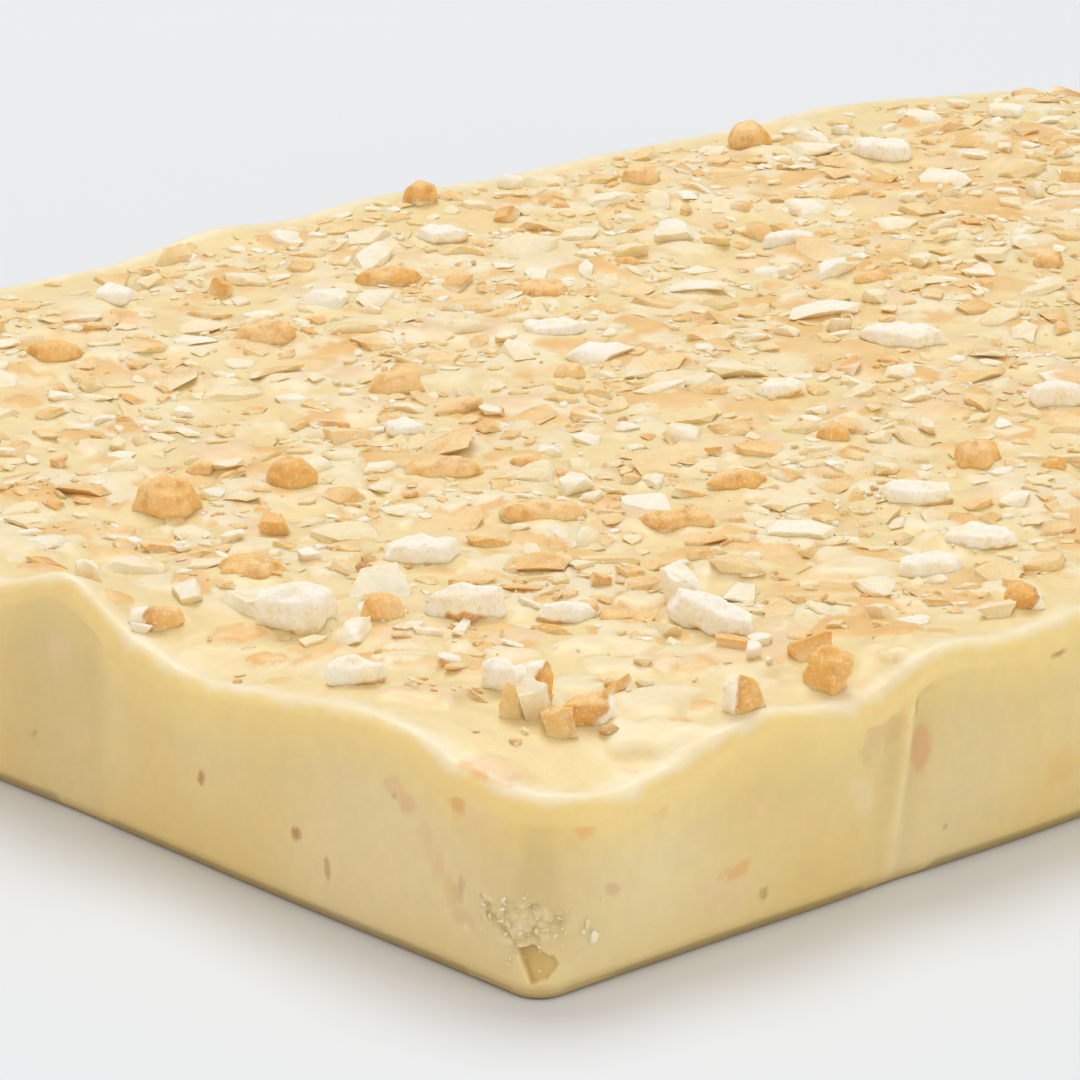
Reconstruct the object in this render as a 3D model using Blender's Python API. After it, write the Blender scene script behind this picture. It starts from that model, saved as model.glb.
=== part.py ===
"""A slab of pale yellow fudge, topped with broken vanilla biscuits, as it comes out of its tray.

The fudge was poured hot into a rectangular tray with rounded corners and strewn with crushed biscuit
while it was soft. It is one solid: a flat base, moulded walls that wave a little where the tray's liner
creased, a rounded rim that climbs and dips, and a top with the small crumbs set fast in it. Each larger
piece of biscuit is a solid of its own, sunk in a recess that the soft fudge closed round it.

Metres, +Z up. The origin is the middle of the base, +X runs along the slab and +Y across it.
"""

import math
import random

import bmesh
import bpy
from mathutils import Matrix, Vector

MM = 0.001

# The slab: a tray of 13 by 9 inches, filled to about an inch.
SLAB_LONG = 330 * MM
SLAB_WIDE = 229 * MM
SLAB_HIGH = 25.5 * MM
RIM_ROUNDING = 2.5 * MM
BASE_BEVEL = 0.7 * MM
RIM_CORNER_RADIUS = 14 * MM
BASE_CORNER_RADIUS = 3.8 * MM

# Lines of the top's grid: a few follow the rim closely, and the rest are evenly spaced.
RIM_LINES = [0, 0.7 * MM, 2.5 * MM, 5.5 * MM, 9.5 * MM]
GRID_SPACING = 8.0 * MM
# Rows of the walls below the rim: share of the rim's height, lowest height and inset.
WALL_ROWS = [(0.62, 0, 0), (0.3, 0, 0), (0, BASE_BEVEL, 0), (0, 0, BASE_BEVEL)]

# Swells and dips of the top: x, y, height and radius, in millimetres. The first ones shape the rim.
RIM_SWELLS = [
    (-165, -114, -1.0, 9),
    (-162, -109, -1.5, 8),
    (-165, -97.5, -0.9, 3.6),
    (-165, -84, 2.4, 15),
    (-165, -58, 0.9, 9),
    (-165, -54, -2.4, 12),
    (-165, -24.5, 3.0, 8),
    (-165, -22, 2.5, 12),
    (-165, 8, 1.2, 14),
    (-165, 40, -1.4, 16),
    (-165, 76, 1.5, 16),
    (-165, 114, -2.6, 18),
    (-148, -114, -3.9, 9),
    (-147, -114, 1.2, 6),
    (-124, -114, 2.0, 9),
    (-118, -114, -1.6, 9),
    (-106, -114, -2.6, 6),
    (-97, -114, 3.4, 13),
    (-88, -114, -0.6, 12),
    (-72, -114, 2.0, 14),
    (-25, -114, -0.8, 20),
    (30, -114, 1.3, 20),
    (80, -114, -1.0, 18),
    (125, -114, 1.4, 14),
    (165, -114, -2.8, 18),
    (165, -55, 1.6, 18),
    (165, 5, -1.2, 20),
    (165, 60, 1.7, 18),
    (165, 114, -4.2, 34),
    (110, 114, 0.8, 20),
    (60, 114, 0.6, 16),
    (5, 114, 1.6, 18),
    (-30, 114, 2.0, 12),
    (-60, 114, -0.5, 20),
    (-115, 114, 1.2, 18),
]
# The seeded ones lie anywhere.
SWELL_SEED = 11
SWELL_COUNT = 34
SWELL_HEIGHT = 1.0 * MM
SWELL_RADII = (9 * MM, 19 * MM)

# Creases that the tray's liner left in the walls: x, y, depth outwards and half width, in millimetres.
WALL_WAVES = [
    (-165, -8, 0.9, 16),
    (-165, -27, -0.5, 7),
    (-165, -70, 0.9, 26),
    (-165, 30, -0.5, 12),
    (-165, 70, 0.6, 16),
    (-120, -114.5, 0.5, 9),
    (-106, -114.5, -0.6, 5),
    (-84, -114.5, 0.7, 12),
    (-50, -114.5, 0.4, 14),
    (10, -114.5, -0.5, 16),
    (70, -114.5, 0.6, 18),
    (130, -114.5, -0.4, 10),
    (165, -60, 0.6, 16),
    (165, 0, -0.6, 14),
    (165, 62, 0.7, 16),
    (95, 114.5, -0.5, 14),
    (30, 114.5, 0.7, 18),
    (-45, 114.5, -0.5, 14),
    (-105, 114.5, 0.6, 16),
]
WAVE_REACH = 8 * MM
WAVE_SHARE_AT_BASE = 0.35

# Biscuit pieces, in millimetres and degrees: x, y, length, width, thickness, turn of the length, lean.
# Pale pieces lie on their baked side and show the broken crumb.
PALE_PIECES = [
    (-144.6, -46.6, 11.4, 9.4, 8.0, -42, 0),
    (-127.4, -59.2, 11.8, 7.0, 7.0, -32, -4),
    (-155, -70.5, 9.2, 6.0, 5.0, -34, 0),
    (-143, -83, 5.2, 4.8, 6.0, -42, 0),
    (-107.5, -84.5, 17.0, 6.6, 6.8, -84, 8),
    (-118, -67.5, 9.8, 4.5, 3.8, -46, 4),
    (-116, -38, 10.8, 8.0, 5.0, -38, 0),
    (-47.5, -62, 12.2, 8.5, 4.4, -24, 0),
    (-57, -81.5, 12.0, 7.5, 4.6, -42, 0),
    (-71, -86, 10.2, 8.0, 4.8, -42, 0),
    (-26, -13, 9.0, 7.0, 3.8, -42, 0),
    (8, -5, 15.0, 9.0, 5.0, -60, 0),
    (-79, 8, 7.4, 6.0, 3.8, -42, 0),
    (-28, 34, 12.0, 7.5, 4.0, -36, 0),
    (91, 81, 12.5, 9.0, 5.4, -75, 0),
    (1, -43, 10.0, 8.0, 5.6, -42, 0),
    (-3, 87, 10.0, 7.0, 4.2, -42, 0),
]
# Baked pieces lie with the golden, domed side up.
BAKED_PIECES = [
    (-136.3, -53.6, 6.8, 6.0, 7.0, -42, 0),
    (-127, 2, 10.4, 9.0, 8.4, -42, 0),
    (-106, 0.5, 8.2, 6.2, 6.0, -20, 8),
    (-158.4, -36, 9.6, 5.0, 4.2, -48, 0),
    (-137.5, -28.5, 12.0, 9.4, 4.4, -42, -4),
    (-61, -41, 11.0, 7.2, 4.0, -42, 0),
    (-80, -48.5, 12.6, 7.0, 4.2, -42, 0),
    (-30, -56.5, 8.6, 8.4, 6.6, -42, 0),
    (-36, -34, 6.2, 5.2, 4.2, -42, 0),
    (-66, 25, 11.5, 8.0, 6.6, -42, 0),
    (-77, -16, 7.6, 4.4, 3.6, -56, 0),
    (-92, -34, 14.0, 9.0, 4.6, -42, 0),
    (-89, -11, 13.0, 8.0, 4.2, -42, 0),
    (-26, 74, 11.0, 7.0, 4.6, -42, 0),
    (-14, 51, 12.0, 8.0, 4.8, -36, 0),
    (-62, 60, 12.0, 9.0, 4.8, -42, 0),
    (-91, 73, 11.0, 8.0, 4.8, -42, 0),
    (80, 102, 9.0, 7.0, 7.5, -42, 10),
    (9, 106, 8.0, 6.0, 6.0, -42, 0),
    (58, 12, 8.0, 7.0, 4.4, -42, 0),
    (46, 93, 8.0, 7.0, 6.2, -42, 0),
    (30, 23, 7.6, 5.0, 3.6, -42, 0),
    (-112, 13, 5.6, 4.0, 4.0, -42, 0),
    (-24, -65, 5.2, 4.2, 3.8, -42, 0),
]
# Edge pieces stand on a broken edge, so that the baked side shows at one side.
EDGE_PIECES = [
    (-144.5, -90.6, 6.4, 5.4, 9.0, -50, 0),
    (-142.2, -98.8, 9.0, 5.2, 5.6, -36, 0),
    (-128, -110, 5.4, 4.2, 6.2, -10, 0),
    (-112, -108, 8.0, 5.4, 7.8, -60, 10),
    (-75, -107, 6.4, 5.0, 4.8, -60, 0),
]
# The rest of the large pieces fall anywhere that is free.
STREWN_SEED = 5
STREWN_COUNT = 12
STREWN_LENGTHS = (7.5, 12.0)

PIECE_SIDES = 7
PIECE_SUNK_SHARE = 0.30
RECESS_GAP = 0.4 * MM
PALE_RINGS = [(0.0, 0.82), (0.34, 1.0), (0.84, 0.86)]
BAKED_RINGS = [(0.0, 0.90), (0.36, 1.0), (0.78, 0.76)]

# Small crumbs that are set fast in the fudge.
CRUMB_SEED = 23
CRUMB_COUNT = 100
CRUMB_RADII = (1.7 * MM, 3.2 * MM)
CRUMB_RIM_MARGIN = 6 * MM
CRUMB_SUNK_SHARE = 0.30

FUDGE_COLOUR = (0.86, 0.72, 0.40, 1.0)
CRUMB_COLOUR = (0.88, 0.80, 0.62, 1.0)
BAKED_COLOUR = (0.79, 0.50, 0.20, 1.0)


def between(low, high, share):
    return low + (high - low) * share


def material(name, colour, roughness):
    made = bpy.data.materials.new(name)
    made.use_nodes = True
    shader = made.node_tree.nodes["Principled BSDF"]
    shader.inputs["Base Color"].default_value = colour
    shader.inputs["Roughness"].default_value = roughness
    shader.inputs["Metallic"].default_value = 0.0
    return made


def object_of(form, name, finish):
    mesh = bpy.data.meshes.new(name)
    form.to_mesh(mesh)
    form.free()
    mesh.materials.append(finish)
    mesh.shade_smooth()
    mesh.set_sharp_from_angle(angle=math.radians(38))
    made = bpy.data.objects.new(name, mesh)
    bpy.context.scene.collection.objects.link(made)
    return made


# ---- the top's relief ----------------------------------------------------------------------------


def top_swells():
    """Every swell of the top as x, y, height and radius in metres: the named ones, then the seeded ones."""
    swells = [tuple(value * MM for value in swell) for swell in RIM_SWELLS]
    draw = random.Random(SWELL_SEED)
    for _ in range(SWELL_COUNT):
        x = draw.uniform(-0.46, 0.46) * SLAB_LONG
        y = draw.uniform(-0.43, 0.43) * SLAB_WIDE
        height = draw.uniform(-SWELL_HEIGHT, SWELL_HEIGHT)
        swells.append((x, y, height, draw.uniform(*SWELL_RADII)))
    return swells


SWELLS = top_swells()


def top_height(x, y):
    """How high the fudge stands at a point, without the rim's rounding."""
    height = SLAB_HIGH
    for swell_x, swell_y, rise, radius in SWELLS:
        away = ((x - swell_x) ** 2 + (y - swell_y) ** 2) / radius**2
        if away < 9:
            height += rise * math.exp(-away)
    return height


def wall_wave(x, y):
    """How far the liner's creases push the wall out, or in, near a point of it."""
    push = 0.0
    for wave_x, wave_y, depth, half_width in WALL_WAVES:
        away = ((x - wave_x * MM) ** 2 + (y - wave_y * MM) ** 2) / (half_width * MM) ** 2
        if away < 9:
            push += depth * MM * math.exp(-away)
    return push


# ---- the slab's outline --------------------------------------------------------------------------


def outline_point(square_x, square_y, level, inset=0.0):
    """Moves a point of the plain rectangle to where the slab has it, with its corners rounded.

    level runs from 0 at the base to 1 at the rim: the corners widen towards the rim, and the creases
    fade towards the base.
    """
    radius = between(BASE_CORNER_RADIUS, RIM_CORNER_RADIUS, level)
    over_x = abs(square_x) - (SLAB_LONG / 2 - radius)
    over_y = abs(square_y) - (SLAB_WIDE / 2 - radius)
    out = Vector((max(over_x, 0), max(over_y, 0)))
    if over_x > 0 and over_y > 0:
        pull = max(over_x, over_y) / out.length
        over_x *= pull
        over_y *= pull
    x = SLAB_LONG / 2 - radius + over_x
    y = SLAB_WIDE / 2 - radius + over_y
    from_wall = min(SLAB_LONG / 2 - abs(square_x), SLAB_WIDE / 2 - abs(square_y))
    near_wall = max(0.0, 1 - from_wall / WAVE_REACH)
    push = wall_wave(math.copysign(x, square_x), math.copysign(y, square_y))
    push *= near_wall * between(WAVE_SHARE_AT_BASE, 1, level)
    out.normalize()
    x += out.x * (push - inset)
    y += out.y * (push - inset)
    return math.copysign(x, square_x), math.copysign(y, square_y)


def grid_lines(extent):
    """Positions of the grid's lines along one side: close together at both rims, even between them."""
    edge = [extent / 2 - inset for inset in RIM_LINES]
    span = 2 * edge[-1]
    cells = round(span / GRID_SPACING)
    inner = [between(-edge[-1], edge[-1], step / cells) for step in range(1, cells)]
    return [-line for line in edge] + inner + edge[::-1]


def slab_form():
    """The slab's mesh: the top as a grid, its border drawn down in rows as the walls, and the base."""
    columns = grid_lines(SLAB_LONG)
    rows = grid_lines(SLAB_WIDE)
    form = bmesh.new()
    bmesh.ops.create_grid(form, x_segments=len(columns) - 1, y_segments=len(rows) - 1, size=0.5)
    form.verts.ensure_lookup_table()
    square = {}
    for index, vert in enumerate(form.verts):
        square_x = columns[index % len(columns)]
        square_y = rows[index // len(columns)]
        square[vert] = (square_x, square_y)
        x, y = outline_point(square_x, square_y, 1)
        inset = min(SLAB_LONG / 2 - abs(square_x), SLAB_WIDE / 2 - abs(square_y))
        short = max(0.0, RIM_ROUNDING - inset)
        drop = RIM_ROUNDING - math.sqrt(RIM_ROUNDING**2 - short**2)
        vert.co = (x, y, top_height(x, y) - drop)
    border = [edge for edge in form.edges if edge.is_boundary]
    rim = {vert: vert.co.z for edge in border for vert in edge.verts}
    above = {vert: vert for vert in rim}
    for share, lowest, inset in WALL_ROWS:
        made = bmesh.ops.extrude_edge_only(form, edges=border)["geom"]
        border = [part for part in made if isinstance(part, bmesh.types.BMEdge) and part.is_boundary]
        fresh = {vert for edge in border for vert in edge.verts}
        below = {}
        for vert in fresh:
            linked = [edge.other_vert(vert) for edge in vert.link_edges]
            upper = next(other for other in linked if other in above)
            top = above[upper]
            x, y = outline_point(*square[top], share, inset)
            vert.co = (x, y, max(lowest, rim[top] * share))
            below[vert] = top
        above = below
    bmesh.ops.holes_fill(form, edges=border, sides=0)
    bmesh.ops.recalc_face_normals(form, faces=form.faces)
    return form


# ---- the biscuit pieces --------------------------------------------------------------------------


def piece_form(seed, row, rings, grow=0.0):
    """One piece of biscuit: a low, seven-sided stone with a flat underside, sunk in the top.

    grow makes it larger all round, as the cutter of its recess.
    """
    x, y, length, width, thickness, turn, lean = row
    draw = random.Random(seed)
    corners = []
    for side in range(PIECE_SIDES):
        angle = 2 * math.pi * (side + draw.uniform(-0.3, 0.3)) / PIECE_SIDES
        corners.append((angle, draw.uniform(0.80, 1.10)))
    half = Vector((length, width, thickness)) * MM / 2
    grown = Vector([value + grow for value in half])
    form = bmesh.new()
    loops = []
    for level, share in rings:
        loop = []
        for angle, reach in corners:
            rough = draw.uniform(0.92, 1.06) if level > 0 else 1.0
            up = level + (draw.uniform(-0.06, 0.06) if level > 0.5 else 0)
            loop.append(
                form.verts.new(
                    (
                        grown.x * share * reach * rough * math.cos(angle),
                        grown.y * share * reach * rough * math.sin(angle),
                        grown.z * (2 * up - 1),
                    )
                )
            )
        loops.append(loop)
    crown = form.verts.new((half.x * draw.uniform(-0.25, 0.25), half.y * draw.uniform(-0.25, 0.25), grown.z))
    form.faces.new(loops[0][::-1])
    for low, high in zip(loops, loops[1:]):
        for side in range(PIECE_SIDES):
            after = (side + 1) % PIECE_SIDES
            form.faces.new((low[side], low[after], high[after], high[side]))
    for side in range(PIECE_SIDES):
        form.faces.new((loops[-1][side], loops[-1][(side + 1) % PIECE_SIDES], crown))
    lift = top_height(x * MM, y * MM) + half.z - PIECE_SUNK_SHARE * 2 * half.z
    placed = (
        Matrix.Translation((x * MM, y * MM, lift))
        @ Matrix.Rotation(math.radians(turn), 4, "Z")
        @ Matrix.Rotation(math.radians(lean), 4, "Y")
    )
    bmesh.ops.transform(form, matrix=placed, verts=form.verts)
    bmesh.ops.triangulate(form, faces=form.faces)
    bmesh.ops.recalc_face_normals(form, faces=form.faces)
    return form


def strewn_rows(taken):
    """Rows for the pieces that fall where there is room, clear of the pieces in taken."""
    draw = random.Random(STREWN_SEED)
    rows = []
    while len(rows) < STREWN_COUNT:
        x = draw.uniform(-152, 152)
        y = draw.uniform(-101, 101)
        length = draw.uniform(*STREWN_LENGTHS)
        turn = draw.uniform(-180, 180)
        clear = all(math.hypot(x - row[0], y - row[1]) > 22 for row in taken + rows)
        if clear:
            rows.append((x, y, length, length * 0.72, length * 0.42, turn, 0))
    return rows


def all_pieces():
    """Every large piece as its name, its row of sizes and the rings of its shape."""
    strewn = strewn_rows(PALE_PIECES + BAKED_PIECES + EDGE_PIECES)
    pale = PALE_PIECES + strewn[0::2]
    baked = BAKED_PIECES + strewn[1::2]
    pieces = [(f"pale_piece_{count:02d}", row, PALE_RINGS) for count, row in enumerate(pale, 1)]
    pieces += [(f"baked_piece_{count:02d}", row, BAKED_RINGS) for count, row in enumerate(baked, 1)]
    pieces += [(f"edge_piece_{count:02d}", row, PALE_RINGS) for count, row in enumerate(EDGE_PIECES, 1)]
    return pieces


# ---- the crumbs set in the fudge -----------------------------------------------------------------


def crumb_places(pieces):
    """Middle, radius and turn of each small crumb, clear of the large pieces and of the rim."""
    draw = random.Random(CRUMB_SEED)
    places = []
    while len(places) < CRUMB_COUNT:
        x = draw.uniform(-1, 1) * (SLAB_LONG / 2 - CRUMB_RIM_MARGIN)
        y = draw.uniform(-1, 1) * (SLAB_WIDE / 2 - CRUMB_RIM_MARGIN)
        radius = between(*CRUMB_RADII, draw.random() ** 1.6)
        turn = draw.uniform(0, 2 * math.pi)
        corner_x = abs(x) - (SLAB_LONG / 2 - RIM_CORNER_RADIUS)
        corner_y = abs(y) - (SLAB_WIDE / 2 - RIM_CORNER_RADIUS)
        off_corner = math.hypot(max(corner_x, 0), max(corner_y, 0)) < RIM_CORNER_RADIUS - CRUMB_RIM_MARGIN
        off_pieces = all(
            math.hypot(x - row[0] * MM, y - row[1] * MM) > radius * 1.4 + row[2] * MM * 0.56 + MM
            for _, row, _ in pieces
        )
        off_crumbs = all(math.hypot(x - place[0], y - place[1]) > (radius + place[2]) * 1.5 for place in places)
        if off_corner and off_pieces and off_crumbs:
            places.append((x, y, radius, turn))
    return places


def crumb_form(place, draw):
    x, y, radius, turn = place
    form = bmesh.new()
    bmesh.ops.create_icosphere(form, subdivisions=1, radius=radius)
    for vert in form.verts:
        vert.co *= draw.uniform(0.82, 1.12)
    flat = draw.uniform(0.55, 0.85)
    long = draw.uniform(1.0, 1.35)
    lift = top_height(x, y) + radius * flat * (1 - 2 * CRUMB_SUNK_SHARE)
    placed = (
        Matrix.Translation((x, y, lift))
        @ Matrix.Rotation(turn, 4, "Z")
        @ Matrix.Diagonal((long, 1.0, flat, 1.0))
    )
    bmesh.ops.transform(form, matrix=placed, verts=form.verts)
    return form


# ---- putting it together -------------------------------------------------------------------------


def apply_boolean(target, operation, helpers):
    """Cuts or joins a whole collection of helpers at once, and removes them."""
    group = bpy.data.collections.new(operation)
    for helper in helpers:
        bpy.context.scene.collection.objects.unlink(helper)
        group.objects.link(helper)
    modifier = target.modifiers.new(operation, "BOOLEAN")
    modifier.operation = operation
    modifier.operand_type = "COLLECTION"
    modifier.collection = group
    modifier.solver = "EXACT"
    bpy.context.scene.collection.children.link(group)
    bpy.context.view_layer.update()
    evaluated = target.evaluated_get(bpy.context.evaluated_depsgraph_get())
    result = bpy.data.meshes.new_from_object(evaluated)
    target.modifiers.remove(modifier)
    target.data = result
    for helper in helpers:
        bpy.data.objects.remove(helper)
    bpy.data.collections.remove(group)


def main():
    for leftover in list(bpy.data.objects):
        bpy.data.objects.remove(leftover)
    fudge = material("fudge", FUDGE_COLOUR, 0.38)
    crumb = material("biscuit_crumb", CRUMB_COLOUR, 0.85)
    baked = material("baked_biscuit", BAKED_COLOUR, 0.62)

    slab = object_of(slab_form(), "fudge_slab", fudge)
    pieces = all_pieces()
    cutters = []
    for seed, (name, row, rings) in enumerate(pieces):
        finish = baked if rings is BAKED_RINGS else crumb
        object_of(piece_form(seed, row, rings), name, finish)
        cutters.append(object_of(piece_form(seed, row, rings, RECESS_GAP), name + "_recess", fudge))
    apply_boolean(slab, "DIFFERENCE", cutters)

    draw = random.Random(CRUMB_SEED + 1)
    crumbs = [
        object_of(crumb_form(place, draw), f"crumb_{count}", fudge)
        for count, place in enumerate(crumb_places(pieces))
    ]
    apply_boolean(slab, "UNION", crumbs)


main()
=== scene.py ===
"""A slab of pale yellow fudge topped with broken vanilla biscuit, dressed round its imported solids."""

import math
import random

import bmesh
import bpy
import numpy as np
from mathutils import Matrix, Vector, geometry, noise
from mathutils.bvhtree import BVHTree


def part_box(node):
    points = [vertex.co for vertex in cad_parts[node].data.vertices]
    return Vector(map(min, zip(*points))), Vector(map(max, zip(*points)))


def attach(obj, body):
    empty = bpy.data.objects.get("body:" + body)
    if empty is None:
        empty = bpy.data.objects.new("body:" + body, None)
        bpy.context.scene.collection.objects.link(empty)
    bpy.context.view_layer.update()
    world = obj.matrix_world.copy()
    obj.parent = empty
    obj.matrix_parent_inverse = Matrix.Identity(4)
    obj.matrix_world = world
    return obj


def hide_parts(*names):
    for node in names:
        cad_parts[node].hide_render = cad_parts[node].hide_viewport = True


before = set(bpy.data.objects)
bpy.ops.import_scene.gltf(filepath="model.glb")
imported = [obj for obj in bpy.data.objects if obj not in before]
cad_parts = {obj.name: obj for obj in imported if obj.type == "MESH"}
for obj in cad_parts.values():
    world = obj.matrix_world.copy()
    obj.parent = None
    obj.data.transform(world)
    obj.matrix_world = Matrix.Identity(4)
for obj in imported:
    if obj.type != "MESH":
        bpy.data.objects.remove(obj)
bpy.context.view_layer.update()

# ---- The table, the daylight and the camera ------------------------------------------------------
# The slab lies on a plain pale table. A wide soft light hangs behind and above it, so that its near walls are
# in soft shade and the fudge glows at the rim, where a painted glow and highlight help it, and pale walls all
# round fill the rest.

MM = 0.001

CAMERA_PLACE = Vector((-563.2, -554.5, 243.2)) * MM
CAMERA_HEADING = 47.82
CAMERA_DIP = 17.43
LENS_IN_PICTURE_WIDTHS = 5.089
SENSOR_WIDTH = 36.0
ROOM_COLOUR = (1.0, 0.86, 0.755, 1.0)
ROOM_STRENGTH = 0.56
DAYLIGHT = (0.90, 0.97, 1.0)
# Each light: where it hangs and what it aims at, its width, its power and its colour.
LIGHTS = {
    "light_behind": ((0.9, 1.3, 2.5), (0, 0, 0), 1.8, 44.0, DAYLIGHT),
    "light_above": ((-0.6, -0.5, 1.4), (-0.1, 0, 0), 1.2, 3.0, DAYLIGHT),
    "light_at_left": ((-1.6, 0.25, 0.3), (0, 0, 0), 1.2, 5.0, (1.0, 0.86, 0.74)),
    "light_at_right": ((0.3, -1.6, 0.3), (0, 0, 0), 1.2, 7.6, (1.0, 0.98, 0.92)),
}

heading = math.radians(CAMERA_HEADING)
dip = math.radians(CAMERA_DIP)
looks_along = Vector(
    (math.cos(heading) * math.cos(dip), math.sin(heading) * math.cos(dip), -math.sin(dip))
)
camera = bpy.data.objects.new("camera", bpy.data.cameras.new("camera"))
camera.data.sensor_width = SENSOR_WIDTH
camera.data.lens = SENSOR_WIDTH * LENS_IN_PICTURE_WIDTHS
camera.data.clip_start = 0.01
camera.location = CAMERA_PLACE
camera.rotation_euler = looks_along.to_track_quat("-Z", "Y").to_euler()
bpy.context.scene.collection.objects.link(camera)
bpy.context.scene.camera = camera
bpy.context.scene.view_settings.view_transform = "Standard"

world = bpy.data.worlds.new("pale_room")
world.use_nodes = True
sky = world.node_tree.nodes["Background"].inputs
sky["Color"].default_value = ROOM_COLOUR
sky["Strength"].default_value = ROOM_STRENGTH
bpy.context.scene.world = world
for name, (place, aims_at, size, power, colour) in LIGHTS.items():
    lamp = bpy.data.lights.new(name, "AREA")
    lamp.shape = "DISK"
    lamp.size = size
    lamp.energy = power
    lamp.color = colour
    holder = bpy.data.objects.new(name, lamp)
    holder.location = place
    holder.rotation_euler = (Vector(aims_at) - Vector(place)).to_track_quat("-Z", "Y").to_euler()
    bpy.context.scene.collection.objects.link(holder)


class Signal:
    """One output in a material's tree. Sums and products on it add the Math nodes that do them."""

    def __init__(self, finish, socket):
        self.finish = finish
        self.socket = socket

    def maths(self, operation, *values):
        return self.finish.node("ShaderNodeMath", {"operation": operation}, dict(enumerate(values)))

    def __add__(self, other):
        return self.maths("ADD", self, other)

    __radd__ = __add__

    def __sub__(self, other):
        return self.maths("SUBTRACT", self, other)

    def __rsub__(self, other):
        return self.maths("SUBTRACT", other, self)

    def __mul__(self, other):
        return self.maths("MULTIPLY", self, other)

    __rmul__ = __mul__


class Finish:
    """A material: its constant values go straight on the shader, and node() adds any node."""

    def __init__(self, name, constants):
        self.material = bpy.data.materials.new(name)
        self.material.use_nodes = True
        self.tree = self.material.node_tree
        self.shader = self.tree.nodes["Principled BSDF"]
        for socket, value in constants.items():
            self.shader.inputs[socket].default_value = value

    def node(self, kind, settings, values, output=0):
        made = self.tree.nodes.new(kind)
        for name, value in settings.items():
            setattr(made, name, value)
        for socket, value in values.items():
            if isinstance(value, Signal):
                self.tree.links.new(value.socket, made.inputs[socket])
            else:
                made.inputs[socket].default_value = value
        return Signal(self, made.outputs[output])

    def feed(self, socket, signal):
        self.tree.links.new(signal.socket, self.shader.inputs[socket])

    def place(self):
        """Where on the object a point is, in metres."""
        return self.node("ShaderNodeTexCoord", {}, {}, "Object")

    def grain(self, place, feature_size, detail=2.0, roughness=0.5):
        """A noise from 0 to 1 whose blots are about feature_size across."""
        values = {"Vector": place, "Scale": 1 / feature_size, "Detail": detail, "Roughness": roughness}
        return self.node("ShaderNodeTexNoise", {}, values)

    def ramp(self, value, low, high, start=0.0, end=1.0):
        """start below low, end above high, and a smooth passage between them."""
        values = {"Value": value, 1: low, 2: high, 3: start, 4: end}
        return self.node("ShaderNodeMapRange", {"interpolation_type": "SMOOTHSTEP"}, values)

    def tint(self, share, first, second):
        """first where share is 0 and second where it is 1, as colours."""
        values = {0: share, 6: first, 7: second}
        return self.node("ShaderNodeMix", {"data_type": "RGBA"}, values, 2)

    def painted(self, attribute, output="Fac"):
        """A value or colour that the mesh holds at each of its points."""
        return self.node("ShaderNodeAttribute", {"attribute_name": attribute}, {}, output)

    def shaded(self, colour, shade):
        return self.node("ShaderNodeVectorMath", {"operation": "SCALE"}, {0: colour, "Scale": shade})

    def bump(self, height, depth, strength=1.0):
        values = {"Strength": strength, "Distance": depth, "Height": height}
        self.feed("Normal", self.node("ShaderNodeBump", {}, values))


TABLE_SIZE = 8.0
TABLE_COLOUR = (0.76, 0.815, 0.88, 1.0)
TABLE_ROUGHNESS = 0.55

form = bmesh.new()
bmesh.ops.create_grid(form, x_segments=1, y_segments=1, size=TABLE_SIZE / 2)
table_mesh = bpy.data.meshes.new("table")
form.to_mesh(table_mesh)
form.free()
table = bpy.data.objects.new("table", table_mesh)
bpy.context.scene.collection.objects.link(table)
table_finish = Finish("pale_table", {"Base Color": TABLE_COLOUR, "Roughness": TABLE_ROUGHNESS})
table.data.materials.append(table_finish.material)

# ---- The fudge -----------------------------------------------------------------------------------
# Fudge poured hot into a lined tray: flat below, its walls waved and creased by the liner, its rim
# rounded, and its top swollen by the biscuit that sank below the skin. It is firm, waxy and a little
# translucent. The form is the solid's own, from the same sizes and swells, with a finer skin.

SLAB_LONG = 330 * MM
SLAB_WIDE = 229 * MM
SLAB_HIGH = 25.5 * MM
RIM_ROUNDING = 2.5 * MM
BASE_BEVEL = 1.1 * MM
RIM_CORNER_RADIUS = 14 * MM
BASE_CORNER_RADIUS = 3.8 * MM

RIM_SWELLS = [
    (-165, -114, -1.0, 9),
    (-162, -109, -1.5, 8),
    (-165, -97.5, -0.9, 3.6),
    (-165, -84, 2.4, 15),
    (-165, -58, 0.9, 9),
    (-165, -54, -2.4, 12),
    (-165, -24.5, 3.0, 8),
    (-165, -22, 2.5, 12),
    (-165, 8, 1.2, 14),
    (-165, 40, -1.4, 16),
    (-165, 76, 1.5, 16),
    (-165, 114, -2.6, 18),
    (-148, -114, -3.9, 9),
    (-147, -114, 1.2, 6),
    (-124, -114, 2.0, 9),
    (-118, -114, -1.6, 9),
    (-106, -114, -2.6, 6),
    (-97, -114, 3.4, 13),
    (-88, -114, -0.6, 12),
    (-72, -114, 2.0, 14),
    (-25, -114, -0.8, 20),
    (30, -114, 1.3, 20),
    (80, -114, -1.0, 18),
    (125, -114, 1.4, 14),
    (165, -114, -2.8, 18),
    (165, -55, 1.6, 18),
    (165, 5, -1.2, 20),
    (165, 60, 1.7, 18),
    (165, 114, -4.2, 34),
    (110, 114, 0.8, 20),
    (60, 114, 0.6, 16),
    (5, 114, 1.6, 18),
    (-30, 114, 2.0, 12),
    (-60, 114, -0.5, 20),
    (-115, 114, 1.2, 18),
]
SWELL_SEED = 11
SWELL_COUNT = 34
SWELL_HEIGHT = 1.0 * MM
SWELL_RADII = (9 * MM, 19 * MM)

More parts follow.
